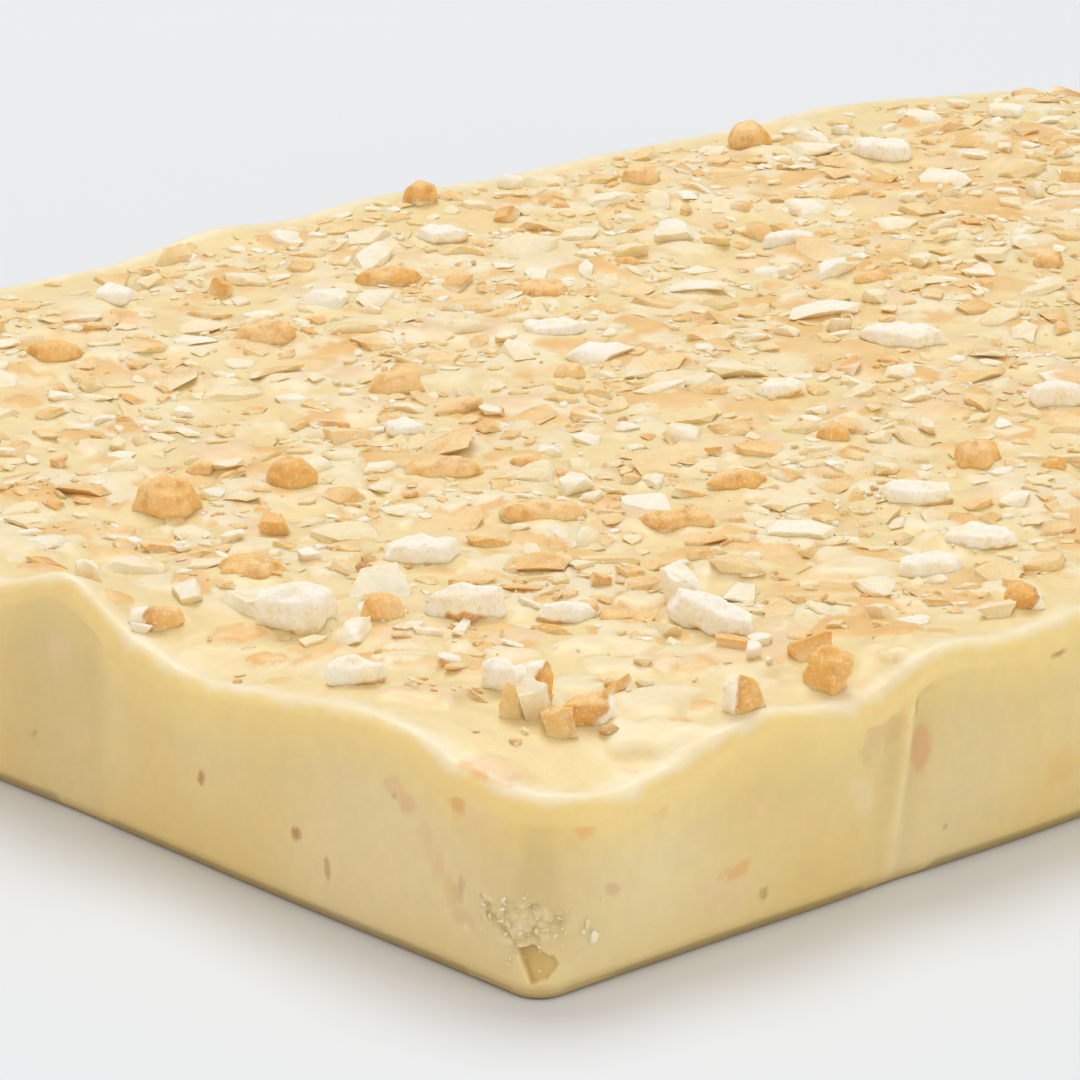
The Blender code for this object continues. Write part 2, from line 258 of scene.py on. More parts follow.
WALL_WAVES = [
    (-165, -8, 0.9, 16),
    (-165, -27, -0.5, 7),
    (-165, -70, 0.9, 26),
    (-165, 30, -0.5, 12),
    (-165, 70, 0.6, 16),
    (-120, -114.5, 0.5, 9),
    (-106, -114.5, -0.6, 5),
    (-84, -114.5, 0.7, 12),
    (-50, -114.5, 0.4, 14),
    (10, -114.5, -0.5, 16),
    (70, -114.5, 0.6, 18),
    (130, -114.5, -0.4, 10),
    (165, -60, 0.6, 16),
    (165, 0, -0.6, 14),
    (165, 62, 0.7, 16),
    (95, 114.5, -0.5, 14),
    (30, 114.5, 0.7, 18),
    (-45, 114.5, -0.5, 14),
    (-105, 114.5, 0.6, 16),
]
WAVE_REACH = 8 * MM
WAVE_SHARE_AT_BASE = 0.35

# The skin's mesh is finer at the corner that is seen from near.
RIM_LINES = [line * MM for line in (0, 0.12, 0.4, 0.8, 1.3, 1.9, 2.6, 3.4)]
FINE_SPACING = 0.78 * MM
PLAIN_SPACING = 1.7 * MM
FINE_REACH = 92 * MM
WALL_ROW_COUNT = 28
NOISE_SEED = 5

swells = [tuple(value * MM for value in swell) for swell in RIM_SWELLS]
draw = random.Random(SWELL_SEED)
for _ in range(SWELL_COUNT):
    x = draw.uniform(-0.46, 0.46) * SLAB_LONG
    y = draw.uniform(-0.43, 0.43) * SLAB_WIDE
    height = draw.uniform(-SWELL_HEIGHT, SWELL_HEIGHT)
    swells.append((x, y, height, draw.uniform(*SWELL_RADII)))


def top_height(x, y):
    """How high the fudge stands at a point, or at many, without the rim's rounding."""
    height = SLAB_HIGH + 0 * x
    for swell_x, swell_y, rise, radius in swells:
        height = height + rise * np.exp(-((x - swell_x) ** 2 + (y - swell_y) ** 2) / radius**2)
    return height


def smooth_step(low, high, value):
    share = np.clip((value - low) / (high - low), 0, 1)
    return share * share * (3 - 2 * share)


def from_walls(x, y):
    """How far points lie in from the nearest wall."""
    return np.minimum(SLAB_LONG / 2 - np.abs(x), SLAB_WIDE / 2 - np.abs(y))


def outline_points(square_x, square_y, level, inset):
    """Points of the plain rectangle, moved to the slab's outline, and the directions out of its walls."""
    radius = BASE_CORNER_RADIUS + (RIM_CORNER_RADIUS - BASE_CORNER_RADIUS) * level
    over_x = np.abs(square_x) - (SLAB_LONG / 2 - radius)
    over_y = np.abs(square_y) - (SLAB_WIDE / 2 - radius)
    out_x = np.maximum(over_x, 0)
    out_y = np.maximum(over_y, 0)
    out_long = np.maximum(np.hypot(out_x, out_y), 1e-9)
    pull = np.where((over_x > 0) & (over_y > 0), np.maximum(over_x, over_y) / out_long, 1)
    x = SLAB_LONG / 2 - radius + over_x * pull
    y = SLAB_WIDE / 2 - radius + over_y * pull
    push = 0.0
    for wave_x, wave_y, depth, half_width in WALL_WAVES:
        away_x = np.copysign(x, square_x) - wave_x * MM
        away_y = np.copysign(y, square_y) - wave_y * MM
        push = push + depth * MM * np.exp(-(away_x**2 + away_y**2) / (half_width * MM) ** 2)
    push = push * np.maximum(0, 1 - from_walls(square_x, square_y) / WAVE_REACH)
    push = push * (WAVE_SHARE_AT_BASE + (1 - WAVE_SHARE_AT_BASE) * level)
    x = x + out_x / out_long * (push - inset)
    y = y + out_y / out_long * (push - inset)
    out = np.stack([np.copysign(out_x, square_x), np.copysign(out_y, square_y)], 1) / out_long[:, None]
    return np.copysign(x, square_x), np.copysign(y, square_y), out


def skin_lines(extent):
    """The skin's lines along one side, from the near wall to the far one."""
    near = [-extent / 2 + line for line in RIM_LINES]
    far = [extent / 2 - line for line in reversed(RIM_LINES)]
    fine_end = -extent / 2 + FINE_REACH
    fine_count = round((fine_end - near[-1]) / FINE_SPACING)
    plain_count = round((far[0] - fine_end) / PLAIN_SPACING)
    fine = [near[-1] + (fine_end - near[-1]) * step / fine_count for step in range(1, fine_count)]
    plain = [fine_end + (far[0] - fine_end) * step / plain_count for step in range(plain_count)]
    return near + fine + plain + far


def rough_noise(points, coarse, fine, fine_share, fine_lift=0):
    """A coarse noise at points with a finer one on it, taken fine_lift above them."""
    lift = Vector((0, 0, fine_lift))
    return np.array(
        [noise.noise(point * coarse) + fine_share * noise.noise((point + lift) * fine) for point in points]
    )


# The large pieces of biscuit, as their solids have them: the fudge stands up a little round each one.
SMALLEST_MENISCUS = -0.1 * MM
LARGEST_MENISCUS = 0.5 * MM
MENISCUS_REACH = 1.3 * MM

piece_names = sorted(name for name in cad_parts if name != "fudge_slab")
piece_outlines = {}
for name in piece_names:
    from_above = {vert.co.xy.to_tuple(6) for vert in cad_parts[name].data.vertices}
    flat = [Vector(point) for point in sorted(from_above)]
    piece_outlines[name] = np.array([flat[index] for index in geometry.convex_hull_2d(flat)])


def beyond_outline(x, y, outline):
    """How far points lie outside a piece's outline, seen from above; less than 0 within it."""
    far = np.full(np.shape(x), -1.0)
    middle = outline.mean(0)
    for start, end in zip(outline, np.roll(outline, -1, 0)):
        out = np.array([end[1] - start[1], start[0] - end[0]])
        out = out / np.hypot(*out)
        if np.dot(out, middle - start) > 0:
            out = -out
        far = np.maximum(far, (x - start[0]) * out[0] + (y - start[1]) * out[1])
    return far


def from_near_corner(x, y):
    """How far a point lies from the near corner, seen from above."""
    return math.hypot(x - NEAR_CORNER.x, y - NEAR_CORNER.y)


def mostly_short(draw, lengths, skew):
    """A length drawn between two, the shorter ones more often the more skew is above 1."""
    return lengths[0] + (lengths[1] - lengths[0]) * draw.random() ** skew


# Biscuit that sank below the skin: it swells the top, and its colour shows through.
SUNK_SEED = 31
SUNK_COUNT = 2300
SUNK_LENGTHS = (3.5 * MM, 14.0 * MM)
SUNK_RISES = (0.2 * MM, 1.3 * MM)
NEAR_CORNER = Vector((-SLAB_LONG / 2, -SLAB_WIDE / 2, SLAB_HIGH))
BARE_REACH = 52 * MM
SHARE_ON_BARE_CORNER = 0.3
SUNK_RIM_MARGIN = 2.2
# Large sunk pieces near the near corner: x, y, length, width, rise in millimetres, turn, how golden.
SUNK_PIECES = [
    (-152.4, -81, 12, 9, 1.2, -42, 0.5),
    (-139.5, -106.5, 15, 9, 1.3, -48, 0.3),
    (-160.4, -102.5, 8, 4.5, 0.6, -62, 0.5),
    (-163.4, -101.2, 5, 3.4, 0.4, -80, 0.8),
    (-162.2, -104.8, 4, 3, 0.3, -60, 0.5),
    (-107, -70, 10, 8, 1.5, -42, 0.15),
    (-76.6, -78.4, 12, 9, 1.3, -42, 0.1),
    (-116, -98, 9, 7, 1.0, -42, 0.05),
    (-123, -78, 10, 6, 0.8, -42, 0.1),
    (-88, -68, 12, 9, 1.4, -42, 0.1),
    (-92, -88, 9, 7, 0.9, -42, 0.2),
    (-116, -88, 10, 6, 0.7, -30, 0.1),
    (-78, -92, 8, 7, 0.8, -42, 0.5),
]

square = bmesh.new()
columns = skin_lines(SLAB_LONG)
rows = skin_lines(SLAB_WIDE)
bmesh.ops.create_grid(square, x_segments=len(columns) - 1, y_segments=len(rows) - 1, size=0.5)
square.verts.ensure_lookup_table()
square_x = [columns[index % len(columns)] for index in range(len(square.verts))]
square_y = [rows[index // len(columns)] for index in range(len(square.verts))]
level = [1.0] * len(square_x)
inset = [0.0] * len(square_x)
above_at = list(range(len(square_x)))
border = [edge for edge in square.edges if edge.is_boundary]
# Each row of the walls, downwards: its share of the height and of the bevel's inset.
wall_steps = [(1 - row / WALL_ROW_COUNT, 0) for row in range(1, WALL_ROW_COUNT)]
wall_steps += [(0, 0), (-0.3, 0.3), (-1, 1)]
square.verts.index_update()
for share, bevelled in wall_steps:
    count = len(square.verts)
    parts = bmesh.ops.extrude_edge_only(square, edges=border)["geom"]
    border = [part for part in parts if isinstance(part, bmesh.types.BMEdge) and part.is_boundary]
    square.verts.index_update()
    square.verts.ensure_lookup_table()
    for index in range(count, len(square.verts)):
        linked = [edge.other_vert(square.verts[index]).index for edge in square.verts[index].link_edges]
        upper = next(other for other in linked if other < count)
        square_x.append(square_x[upper])
        square_y.append(square_y[upper])
        level.append(share)
        inset.append(bevelled * BASE_BEVEL)
        above_at.append(above_at[upper])
bmesh.ops.holes_fill(square, edges=border, sides=0)
bmesh.ops.recalc_face_normals(square, faces=square.faces)

square_x, square_y, level, inset = map(np.array, (square_x, square_y, level, inset))
above_at = np.array(above_at)
x, y, out = outline_points(square_x, square_y, np.clip(level, 0, 1), inset)
top = np.arange(len(x)) < len(columns) * len(rows)

# The top: swells, sunk biscuit, the stand of the fudge round the pieces, and the rounded rim.
WANDER = 0.9 * MM
MENISCUS_MARGIN = 4 * MENISCUS_REACH
RIPPLE_HEIGHT = 0.28 * MM
RIM_LIP = 0.22 * MM

on_top = [Vector((a, b, 0)) for a, b in zip(x[top], y[top])]
noise.seed_set(NOISE_SEED)
wander = np.array([noise.noise_vector(point * 260) for point in on_top])
top_x = x[top] + wander[:, 0] * WANDER
top_y = y[top] + wander[:, 1] * WANDER
from_wall = from_walls(square_x[top], square_y[top])
relief = np.zeros(top.sum())
buried = np.zeros(top.sum())
golden = np.zeros(top.sum())
draw = random.Random(SUNK_SEED)
sunk = [tuple(value * MM for value in row[:5]) + row[5:] for row in SUNK_PIECES]
while len(sunk) < SUNK_COUNT:
    length = mostly_short(draw, SUNK_LENGTHS, 1.7)
    rise = draw.uniform(*SUNK_RISES) * (0.4 + 0.6 * length / SUNK_LENGTHS[1])
    place_x = draw.uniform(-0.5, 0.5) * (SLAB_LONG - SUNK_RIM_MARGIN * length)
    place_y = draw.uniform(-0.5, 0.5) * (SLAB_WIDE - SUNK_RIM_MARGIN * length)
    turn = draw.uniform(-180, 180)
    width = length * draw.uniform(0.55, 0.9)
    gold = draw.random() ** 1.2
    on_bare_corner = from_near_corner(place_x, place_y) < BARE_REACH
    if not on_bare_corner or draw.random() < SHARE_ON_BARE_CORNER:
        sunk.append((place_x, place_y, length, width, rise, turn, gold))
for place_x, place_y, length, width, rise, turn, gold in sunk:
    near = np.flatnonzero((np.abs(top_x - place_x) < length) & (np.abs(top_y - place_y) < length))
    turned = math.radians(turn)
    along = (top_x[near] - place_x) * math.cos(turned) + (top_y[near] - place_y) * math.sin(turned)
    across = (top_y[near] - place_y) * math.cos(turned) - (top_x[near] - place_x) * math.sin(turned)
    away = np.hypot(along / length * 2, across / width * 2)
    corners = 3 + round(gold * 7) % 3
    away = away * (1 + 0.13 * np.cos(corners * np.arctan2(across, along) + turn))
    relief[near] = np.maximum(relief[near], rise * smooth_step(1.25, 0.55, away))
    shown = smooth_step(1.08, 0.72, away) * min(1, 0.35 + rise / (0.9 * MM))
    golden[near] = np.where(shown > buried[near], gold, golden[near])
    buried[near] = np.maximum(buried[near], shown)
for name in piece_names:
    outline = piece_outlines[name]
    low, high = outline.min(0) - MENISCUS_MARGIN, outline.max(0) + MENISCUS_MARGIN
    near = (top_x > low[0]) & (top_x < high[0]) & (top_y > low[1]) & (top_y < high[1])
    near = np.flatnonzero(near)
    beyond = beyond_outline(top_x[near], top_y[near], outline)
    stand = SMALLEST_MENISCUS + (LARGEST_MENISCUS - SMALLEST_MENISCUS) * (0.5 + wander[near, 2])
    relief[near] += stand * np.exp(-((np.maximum(beyond, 0) / MENISCUS_REACH) ** 2))
    buried[near] *= smooth_step(0, 1.5 * MM, beyond)
fade_at_rim = smooth_step(0.5 * MM, 6 * MM, from_wall)
ripple = rough_noise(on_top, 90, 330, 0.35, 7)
short = np.maximum(0, RIM_ROUNDING - from_wall)
drop = RIM_ROUNDING - np.sqrt(RIM_ROUNDING**2 - short**2)
z = np.zeros(len(x))
crest = from_wall + wander[:, 2] * WANDER
lip = RIM_LIP * smooth_step(3.6 * MM, 2.4 * MM, crest) * smooth_step(0.6 * MM, 1.8 * MM, crest)
z[top] = top_height(x[top], y[top]) + relief * fade_at_rim + ripple * RIPPLE_HEIGHT + lip - drop
z[~top] = np.where(level[~top] > 0, z[above_at[~top]] * level[~top], 0)
z[~top] = np.where(level[~top] == 0, BASE_BEVEL, z[~top])
z[~top] = np.where((level[~top] < 0) & (level[~top] > -1), 0.3 * BASE_BEVEL, z[~top])
z[~top] = np.maximum(z[~top], np.where(level[~top] >= 0, BASE_BEVEL, 0))

# The walls: fine creases of the liner, a shallow mottle and a slight bow.
# Creases: the wall, where each starts at the rim and ends at the base, half width and depth.
CREASES = [
    ("-Y", -102.9, -106.9, 1.0, 0.95),
    ("-Y", -105.4, -109.4, 1.8, -0.55),
    ("-Y", -100.6, -104.6, 1.7, -0.70),
    ("-Y", -147, -146, 3.0, 0.20),
    ("-Y", -119, -122, 2.2, -0.18),
    ("-X", -31.0, -31.5, 2.8, -0.55),
    ("-X", -36.5, -37.0, 3.4, 0.35),
    ("-X", -84, -80, 3.5, -0.15),
]
CREASE_SEED = 17
CREASES_PER_WALL = 9
MOTTLE_DEPTH = 0.12 * MM
WALL_BOW = 0.35 * MM

walls = {"-X": (0, -1), "+X": (0, 1), "-Y": (1, -1), "+Y": (1, 1)}
creases = [(wall, start * MM, end * MM, half * MM, depth * MM) for wall, start, end, half, depth in CREASES]
draw = random.Random(CREASE_SEED)
for wall, (axis, _) in walls.items():
    for _ in range(CREASES_PER_WALL):
        start = draw.uniform(-0.46, 0.46) * (SLAB_WIDE if axis == 0 else SLAB_LONG)
        end = start + draw.uniform(-4, 4) * MM
        near_corner = (axis == 0 and start < -20 * MM) or (axis == 1 and start < -70 * MM)
        depth = draw.uniform(-0.35, 0.3) * MM * (0.3 if near_corner and wall[0] == "-" else 1)
        creases.append((wall, start, end, draw.uniform(1.2, 3.5) * MM, depth))
side = ~top & (level >= 0)
height_share = z[side] / SLAB_HIGH
fold = np.zeros(side.sum())
for wall, start, end, half_width, depth in creases:
    axis, sign = walls[wall]
    faces_out = np.clip(out[side][:, axis] * sign, 0, 1) ** 4
    runs = (y if axis == 0 else x)[side]
    away = runs - (end + (start - end) * height_share)
    fold += depth * faces_out * np.exp(-((away / half_width) ** 2)) * (0.25 + 0.75 * height_share)
points = np.stack([x[side], y[side], z[side]], 1)
mottle = rough_noise([Vector(point) for point in points], 130, 420, 0.4)
push = fold + mottle * MOTTLE_DEPTH
bow = WALL_BOW * 4 * np.clip(height_share, 0, 1) * (1 - np.clip(height_share, 0, 1))
push = (push + bow) * smooth_step(0, 0.10, height_share)
x[side] += out[side][:, 0] * push
y[side] += out[side][:, 1] * push

# The skin's colour: yellow fudge, paler in clouds, with sunk biscuit showing through, and painted light and
# shade.
FUDGE_YELLOW = (0.80, 0.63, 0.27)
FUDGE_PALE = (0.83, 0.70, 0.38)
# A paler top: painted sheen where the light falls on it.
FUDGE_TOP_WITH_SHEEN = (0.89, 0.745, 0.41)
# A painted highlight, on the rim's crest and on the creases' ridges.
PAINTED_HIGHLIGHT = (0.90, 0.84, 0.64)
# Painted shade at the foot of the walls, where they meet the table.
PAINTED_BASE_SHADE = (0.42, 0.30, 0.11)
# A painted glow, for light coming through the fudge just below the rim.
PAINTED_RIM_GLOW = (0.89, 0.72, 0.29)
TINTS = {
    "cream": (0.90, 0.80, 0.56),
    "pink": (0.85, 0.64, 0.39),
    "golden": (0.82, 0.50, 0.17),
    "brown": (0.46, 0.22, 0.08),
    "grey": (0.66, 0.46, 0.27),
    "russet": (0.74, 0.40, 0.18),
    # Painted shade, on folds that turn away and at the near corner.
    "olive": (0.60, 0.48, 0.22),
    # Painted shade in small bubble pits.
    "bubble": (0.45, 0.40, 0.14),
    "dust": (0.88, 0.62, 0.29),
    "pale": (0.93, 0.88, 0.70),
}
# In the two near walls: x, y, z, half length, half height, tint, strength.
# The olive rows are painted shade, on folds and at the near corner.
WALL_MARKS = [
    (-165, -22.0, 14.0, 8.0, 16.0, "olive", 0.35),
    (-95.0, -114.5, 13.0, 8.0, 14.0, "olive", 0.25),
    (-165, -112.0, 13.0, 7.0, 7.0, "olive", 0.3),
    (-161.0, -114.5, 13.0, 6.0, 7.0, "olive", 0.3),
    (-165, -53.5, 12.6, 0.8, 1.1, "brown", 0.75),
    (-165, -71.7, 10.1, 0.9, 1.0, "brown", 0.8),
    (-165, -19.3, 8.9, 0.9, 0.6, "brown", 0.5),
    (-165, -24.5, 20.7, 2.4, 2.2, "pink", 0.45),
    (-165, -28.2, 11.0, 2.2, 2.0, "pink", 0.35),
    (-165, -77.3, 6.5, 0.7, 1.5, "brown", 0.5),
    (-165, -90.0, 20.9, 2.0, 1.4, "russet", 0.30),
    (-165, -92.6, 19.2, 1.8, 1.3, "russet", 0.42),
    (-165, -91.6, 20.6, 0.7, 0.7, "golden", 0.6),
    (-165, -95.5, 15.5, 1.2, 1.8, "russet", 0.16),
    (-165, -97.6, 13.2, 1.0, 1.8, "russet", 0.26),
    (-165, -102.2, 11.3, 0.7, 1.7, "brown", 0.32),
    (-165, -100.0, 10.6, 1.1, 1.8, "russet", 0.28),
    (-165, -102.2, 8.2, 2.0, 1.4, "grey", 0.3),
    (-165, -99.1, 7.6, 0.45, 0.4, "pale", 0.8),
    (-165, -102.6, 6.7, 0.4, 0.6, "pale", 0.7),
    (-165, -101.2, 22.7, 2.3, 2.5, "golden", 0.85),
    (-165, -104.4, 21.4, 2.6, 2.6, "pink", 0.55),
    # This and the other bubble rows: painted shade in small pits.
    (-165, -90.0, 19.4, 0.6, 0.6, "bubble", 0.6),
    (-165, -11.5, 13.4, 0.7, 0.8, "bubble", 0.6),
    (-156.6, -114.5, 20.6, 1.8, 1.8, "golden", 0.8),
    (-153.1, -114.5, 11.9, 1.3, 0.8, "grey", 0.6),
    (-146.3, -114.5, 20.9, 1.8, 2.6, "russet", 0.28),
    (-128.7, -114.5, 15.7, 0.8, 1.2, "pink", 0.55),
    (-133.1, -114.5, 9.2, 2.8, 1.0, "golden", 0.75),
    (-135.0, -114.5, 6.4, 3.6, 2.6, "pink", 0.5),
    (-128.8, -114.5, 4.8, 0.8, 0.8, "bubble", 0.8),
    (-109.6, -114.5, 20.0, 2.4, 2.2, "grey", 0.45),
    (-101.2, -114.5, 16.8, 1.4, 2.8, "russet", 0.6),
    (-102.5, -114.5, 23.0, 0.7, 1.5, "brown", 0.45),
    (-111.4, -114.5, 13.1, 2.2, 2.6, "pale", 0.2),
    (-106.6, -114.5, 20.0, 1.6, 2.4, "grey", 0.4),
    (-77.5, -114.5, 24.1, 1.2, 1.3, "brown", 0.8),
    (-97.1, -114.5, 5.6, 0.7, 0.6, "bubble", 0.6),
    (-75.9, -114.5, 8.4, 3.0, 2.2, "golden", 0.3),
]
WALL_MARK_SEED = 41
MARKS_PER_WALL = {"-X": 8, "+X": 26, "-Y": 22, "+Y": 34}
SUNK_STRENGTH = 0.95
TOP_SHEEN_STRENGTH = 0.65
BASE_SHADE_STRENGTH = 0.85
DUST_STRENGTH = 0.5
FOLD_DEPTH = 0.9 * MM
FOLD_SHADING_STRENGTH = 0.45
RIM_HIGHLIGHT_STRENGTH = 0.9
RIM_GLOW_STRENGTH = 0.7

marks = [tuple(value * MM for value in row[:5]) + row[5:] for row in WALL_MARKS]
draw = random.Random(WALL_MARK_SEED)
for wall, (axis, sign) in walls.items():
    for _ in range(MARKS_PER_WALL[wall]):
        if axis == 0:
            spot = [sign * SLAB_LONG / 2, draw.uniform(-0.02 if sign < 0 else -0.46, 0.46) * SLAB_WIDE]
        else:
            spot = [draw.uniform(-0.2 if sign < 0 else -0.46, 0.46) * SLAB_LONG, sign * SLAB_WIDE / 2]
        half = draw.uniform(0.7, 2.6) * MM
        kind = draw.choice(["pink", "pink", "pink", "golden", "russet", "grey", "grey"])
        spot += [draw.uniform(3, 22) * MM, half, half * draw.uniform(0.5, 1.1), kind, draw.uniform(0.25, 0.7)]
        marks.append(tuple(spot))


def lay(colours, share, tint):
    """Colours with a tint laid on them, share by share."""
    return colours + (np.array(tint) - colours) * share[:, None]


clouds = np.array([noise.noise(Vector(point) * 45) for point in zip(x, y, z)])
tone = lay(np.tile(FUDGE_YELLOW, (len(x), 1)), smooth_step(-0.35, 0.55, clouds), FUDGE_PALE)
# The top is laid paler: painted sheen.
tone[top] = lay(tone[top], np.full(top.sum(), TOP_SHEEN_STRENGTH), FUDGE_TOP_WITH_SHEEN)
dusty = rough_noise(on_top, 55, 170, 0.5, 3)
off_corner = np.hypot(x[top] - NEAR_CORNER.x, y[top] - NEAR_CORNER.y)
dusty = smooth_step(0.0, 0.45, dusty) * smooth_step(BARE_REACH, 1.7 * BARE_REACH, off_corner)
tone[top] = lay(tone[top], dusty * smooth_step(8 * MM, 24 * MM, from_wall) * DUST_STRENGTH, TINTS["dust"])
# A painted highlight along the rim's crest.
rim_highlight = np.zeros(len(x))
rim_highlight[top] = smooth_step(4.8 * MM, 3.0 * MM, crest) * smooth_step(0.6 * MM, 1.4 * MM, crest)
rim_highlight[top] *= 0.75 + 0.5 * np.clip(ripple, -0.5, 0.5)
# Painted light on the creases' ridges and painted shade in their troughs.
tone[side] = lay(tone[side], np.clip(fold / FOLD_DEPTH, 0, 1) * FOLD_SHADING_STRENGTH, PAINTED_HIGHLIGHT)
tone[side] = lay(tone[side], np.clip(-fold / FOLD_DEPTH, 0, 1) * FOLD_SHADING_STRENGTH, TINTS["olive"])
below = z[above_at[side]] - points[:, 2] + mottle * 0.7 * MM
# A painted glow on the rim's rounding and the top of the walls.
rim_glow = np.zeros(len(x))
rim_glow[top] = smooth_step(1.6 * MM, 0.6 * MM, crest)
rim_glow[side] = smooth_step(6.5 * MM, 0.5 * MM, below)
tone = lay(tone, rim_glow * RIM_GLOW_STRENGTH, PAINTED_RIM_GLOW)
tone = lay(tone, rim_highlight * RIM_HIGHLIGHT_STRENGTH, PAINTED_HIGHLIGHT)
# Painted shade at the foot of the walls.
tone = lay(tone, smooth_step(2.2 * MM, 0.4 * MM, z) * BASE_SHADE_STRENGTH, PAINTED_BASE_SHADE)
# What shows through the skin: how far inside its outline each point is, and its colour there.
spot = np.zeros(len(x))
spot_tone = tone.copy()
spot[top] = buried * smooth_step(0.2 * MM, 2 * MM, from_wall)
spot_strength = np.clip(0.75 + 0.6 * ripple, 0.4, 1) * SUNK_STRENGTH
for low, high, kind in ((0, 0.45, "cream"), (0.45, 0.62, "pink"), (0.62, 1.01, "golden")):
    of_kind = (golden >= low) & (golden < high)
    spot_tone[top] = lay(spot_tone[top], of_kind * spot_strength, TINTS[kind])
side_spot = np.zeros(side.sum())
side_tone = tone[side]
stray = np.array([noise.noise_vector(Vector(point) * 210) for point in points]) * 1.5 * MM
for mark_x, mark_y, mark_z, half_long, half_high, kind, strength in marks:
    faces_x = abs(mark_x) >= SLAB_LONG / 2
    along = points[:, 1] - mark_y if faces_x else points[:, 0] - mark_x
    through = points[:, 0] - mark_x if faces_x else points[:, 1] - mark_y
    away = np.hypot((along + stray[:, 0]) / half_long, (points[:, 2] + stray[:, 2] - mark_z) / half_high)
    inside = smooth_step(1.9, 0.2, away) * smooth_step(6 * MM, 4 * MM, np.abs(through))
    # Painted shade lies on both the skin and what shows through it.
    if kind == "olive":
        tone[side] = lay(tone[side], inside * strength, TINTS[kind])
        side_tone = lay(side_tone, inside * strength, TINTS[kind])
        continue
    tinted = lay(tone[side], np.full(len(inside), strength), TINTS[kind])
    side_tone = np.where((inside > side_spot)[:, None], tinted, side_tone)
    side_spot = np.maximum(side_spot, inside)
spot[side] = side_spot
spot_tone[side] = side_tone

layers = {name: square.verts.layers.float_color.new(name) for name in ("tone", "spot_tone")}
spot_layer = square.verts.layers.float.new("spot")
grit_layer = square.verts.layers.float.new("gritty")
for vert, *point, vert_tone, vert_spot_tone, vert_spot in zip(square.verts, x, y, z, tone, spot_tone, spot):
    vert.co = point
    vert[layers["tone"]] = (*vert_tone, 1)
    vert[layers["spot_tone"]] = (*vert_spot_tone, 1)
    vert[spot_layer] = vert_spot

# The slab was knocked low on its near corner: a small hollow broke out, the skin tore on the way to it
# and crumbled above it. Places there are given as they are seen from outside: how far along the walls
# and how far up from the chip's middle they lie, in millimetres.
CHIP_MIDDLE = Vector((-163.6, -113.1, 5.4)) * MM
CHIP_REACH = 11.5 * MM
CHIP_CUTS = 3
HOLLOW_OUTLINE = [(-2.5, 0.8), (-0.7, 1.0), (1.7, -0.2), (2.5, -1.3), (1.4, -2.6), (-0.9, -3.4), (-1.5, -2.4)]
HOLLOW_DEPTH = 1.1 * MM
TORN_LINE = (Vector((-6.6, 5.7)) * MM, Vector((-2.3, 0.6)) * MM)
TORN_WIDTH = 1.0 * MM
CRUMBLED_MIDDLE = Vector((-1.3, 3.2)) * MM
CRUMBLED_RADII = (4.4 * MM, 3.0 * MM)
CHIP_AMBER = Vector((0.70, 0.51, 0.18))
# Painted shade, in the crumbled skin's hollows and along the tear.
CHIP_CREVICE_SHADE = Vector((0.50, 0.35, 0.12))
CRUMBLED_PALE = Vector((0.90, 0.79, 0.53))

out_of_corner = Vector((-1, -1, 0)).normalized()
along_walls = Vector((1, -1, 0)).normalized()
by_chip = [face for face in square.faces if (face.calc_center_median() - CHIP_MIDDLE).length < CHIP_REACH]
edges_by_chip = list(dict.fromkeys(edge for face in by_chip for edge in face.edges))
bmesh.ops.subdivide_edges(square, edges=edges_by_chip, cuts=CHIP_CUTS, use_grid_fill=True)
hollow_outline = np.array(HOLLOW_OUTLINE) * MM
for vert in square.verts:
    offset = vert.co - CHIP_MIDDLE
    if offset.length > CHIP_REACH or vert.co.z < 0.8 * MM:
        continue
    shake = noise.noise_vector(vert.co * 420) * 0.45 * MM + noise.noise_vector(vert.co * 1100) * 0.2 * MM
    seen = Vector((offset.dot(along_walls) + shake.x, offset.z + shake.y))
    hollow = smooth_step(0.12 * MM, -0.30 * MM, beyond_outline(seen.x, seen.y, hollow_outline))
    on_line, share = geometry.intersect_point_line(seen, *TORN_LINE)
    off_line = (seen - TORN_LINE[0].lerp(TORN_LINE[1], min(1, max(0, share)))).length
    torn = smooth_step(TORN_WIDTH, 0.5 * TORN_WIDTH, off_line)
    off_middle = seen - CRUMBLED_MIDDLE
    crumbled = math.hypot(off_middle.x / CRUMBLED_RADII[0], off_middle.y / CRUMBLED_RADII[1])
    crumbled = smooth_step(1.15, 0.75, crumbled + 0.5 * noise.noise(vert.co * 330))
    crumbled = max(crumbled * 0.7, torn) * (1 - hollow)
    granule = 0.5 - noise.voronoi(vert.co * 900)[0][0]
    rough = 0.5 * granule + 0.4 * noise.noise(vert.co * 420)
    deep = hollow * HOLLOW_DEPTH * (0.35 + 0.65 * smooth_step(2.5 * MM, -1.5 * MM, seen.x))
    vert.co -= out_of_corner * (deep * (1 + 0.3 * noise.noise(vert.co * 300)))
    vert.co += out_of_corner * (crumbled * (rough * 1.5 - 0.2) + hollow * rough * 0.3) * MM
    here = Vector(vert[layers["tone"]][:3])
    here = here.lerp(CRUMBLED_PALE, crumbled * smooth_step(-0.10, 0.25, rough) * 0.8)
    # Painted shade where the grains sink in, and along the tear.
    here = here.lerp(CHIP_CREVICE_SHADE, crumbled * smooth_step(-0.10, -0.35, rough) * 0.6)
    here = here.lerp(CHIP_CREVICE_SHADE, smooth_step(0.45 * MM, 0.1 * MM, off_line) * (1 - hollow) * 0.5)
    here = here.lerp(CHIP_AMBER, hollow * 0.8)
    vert[layers["tone"]] = (*here, 1)
    vert[spot_layer] *= 1 - max(hollow, crumbled)
    vert[grit_layer] = crumbled
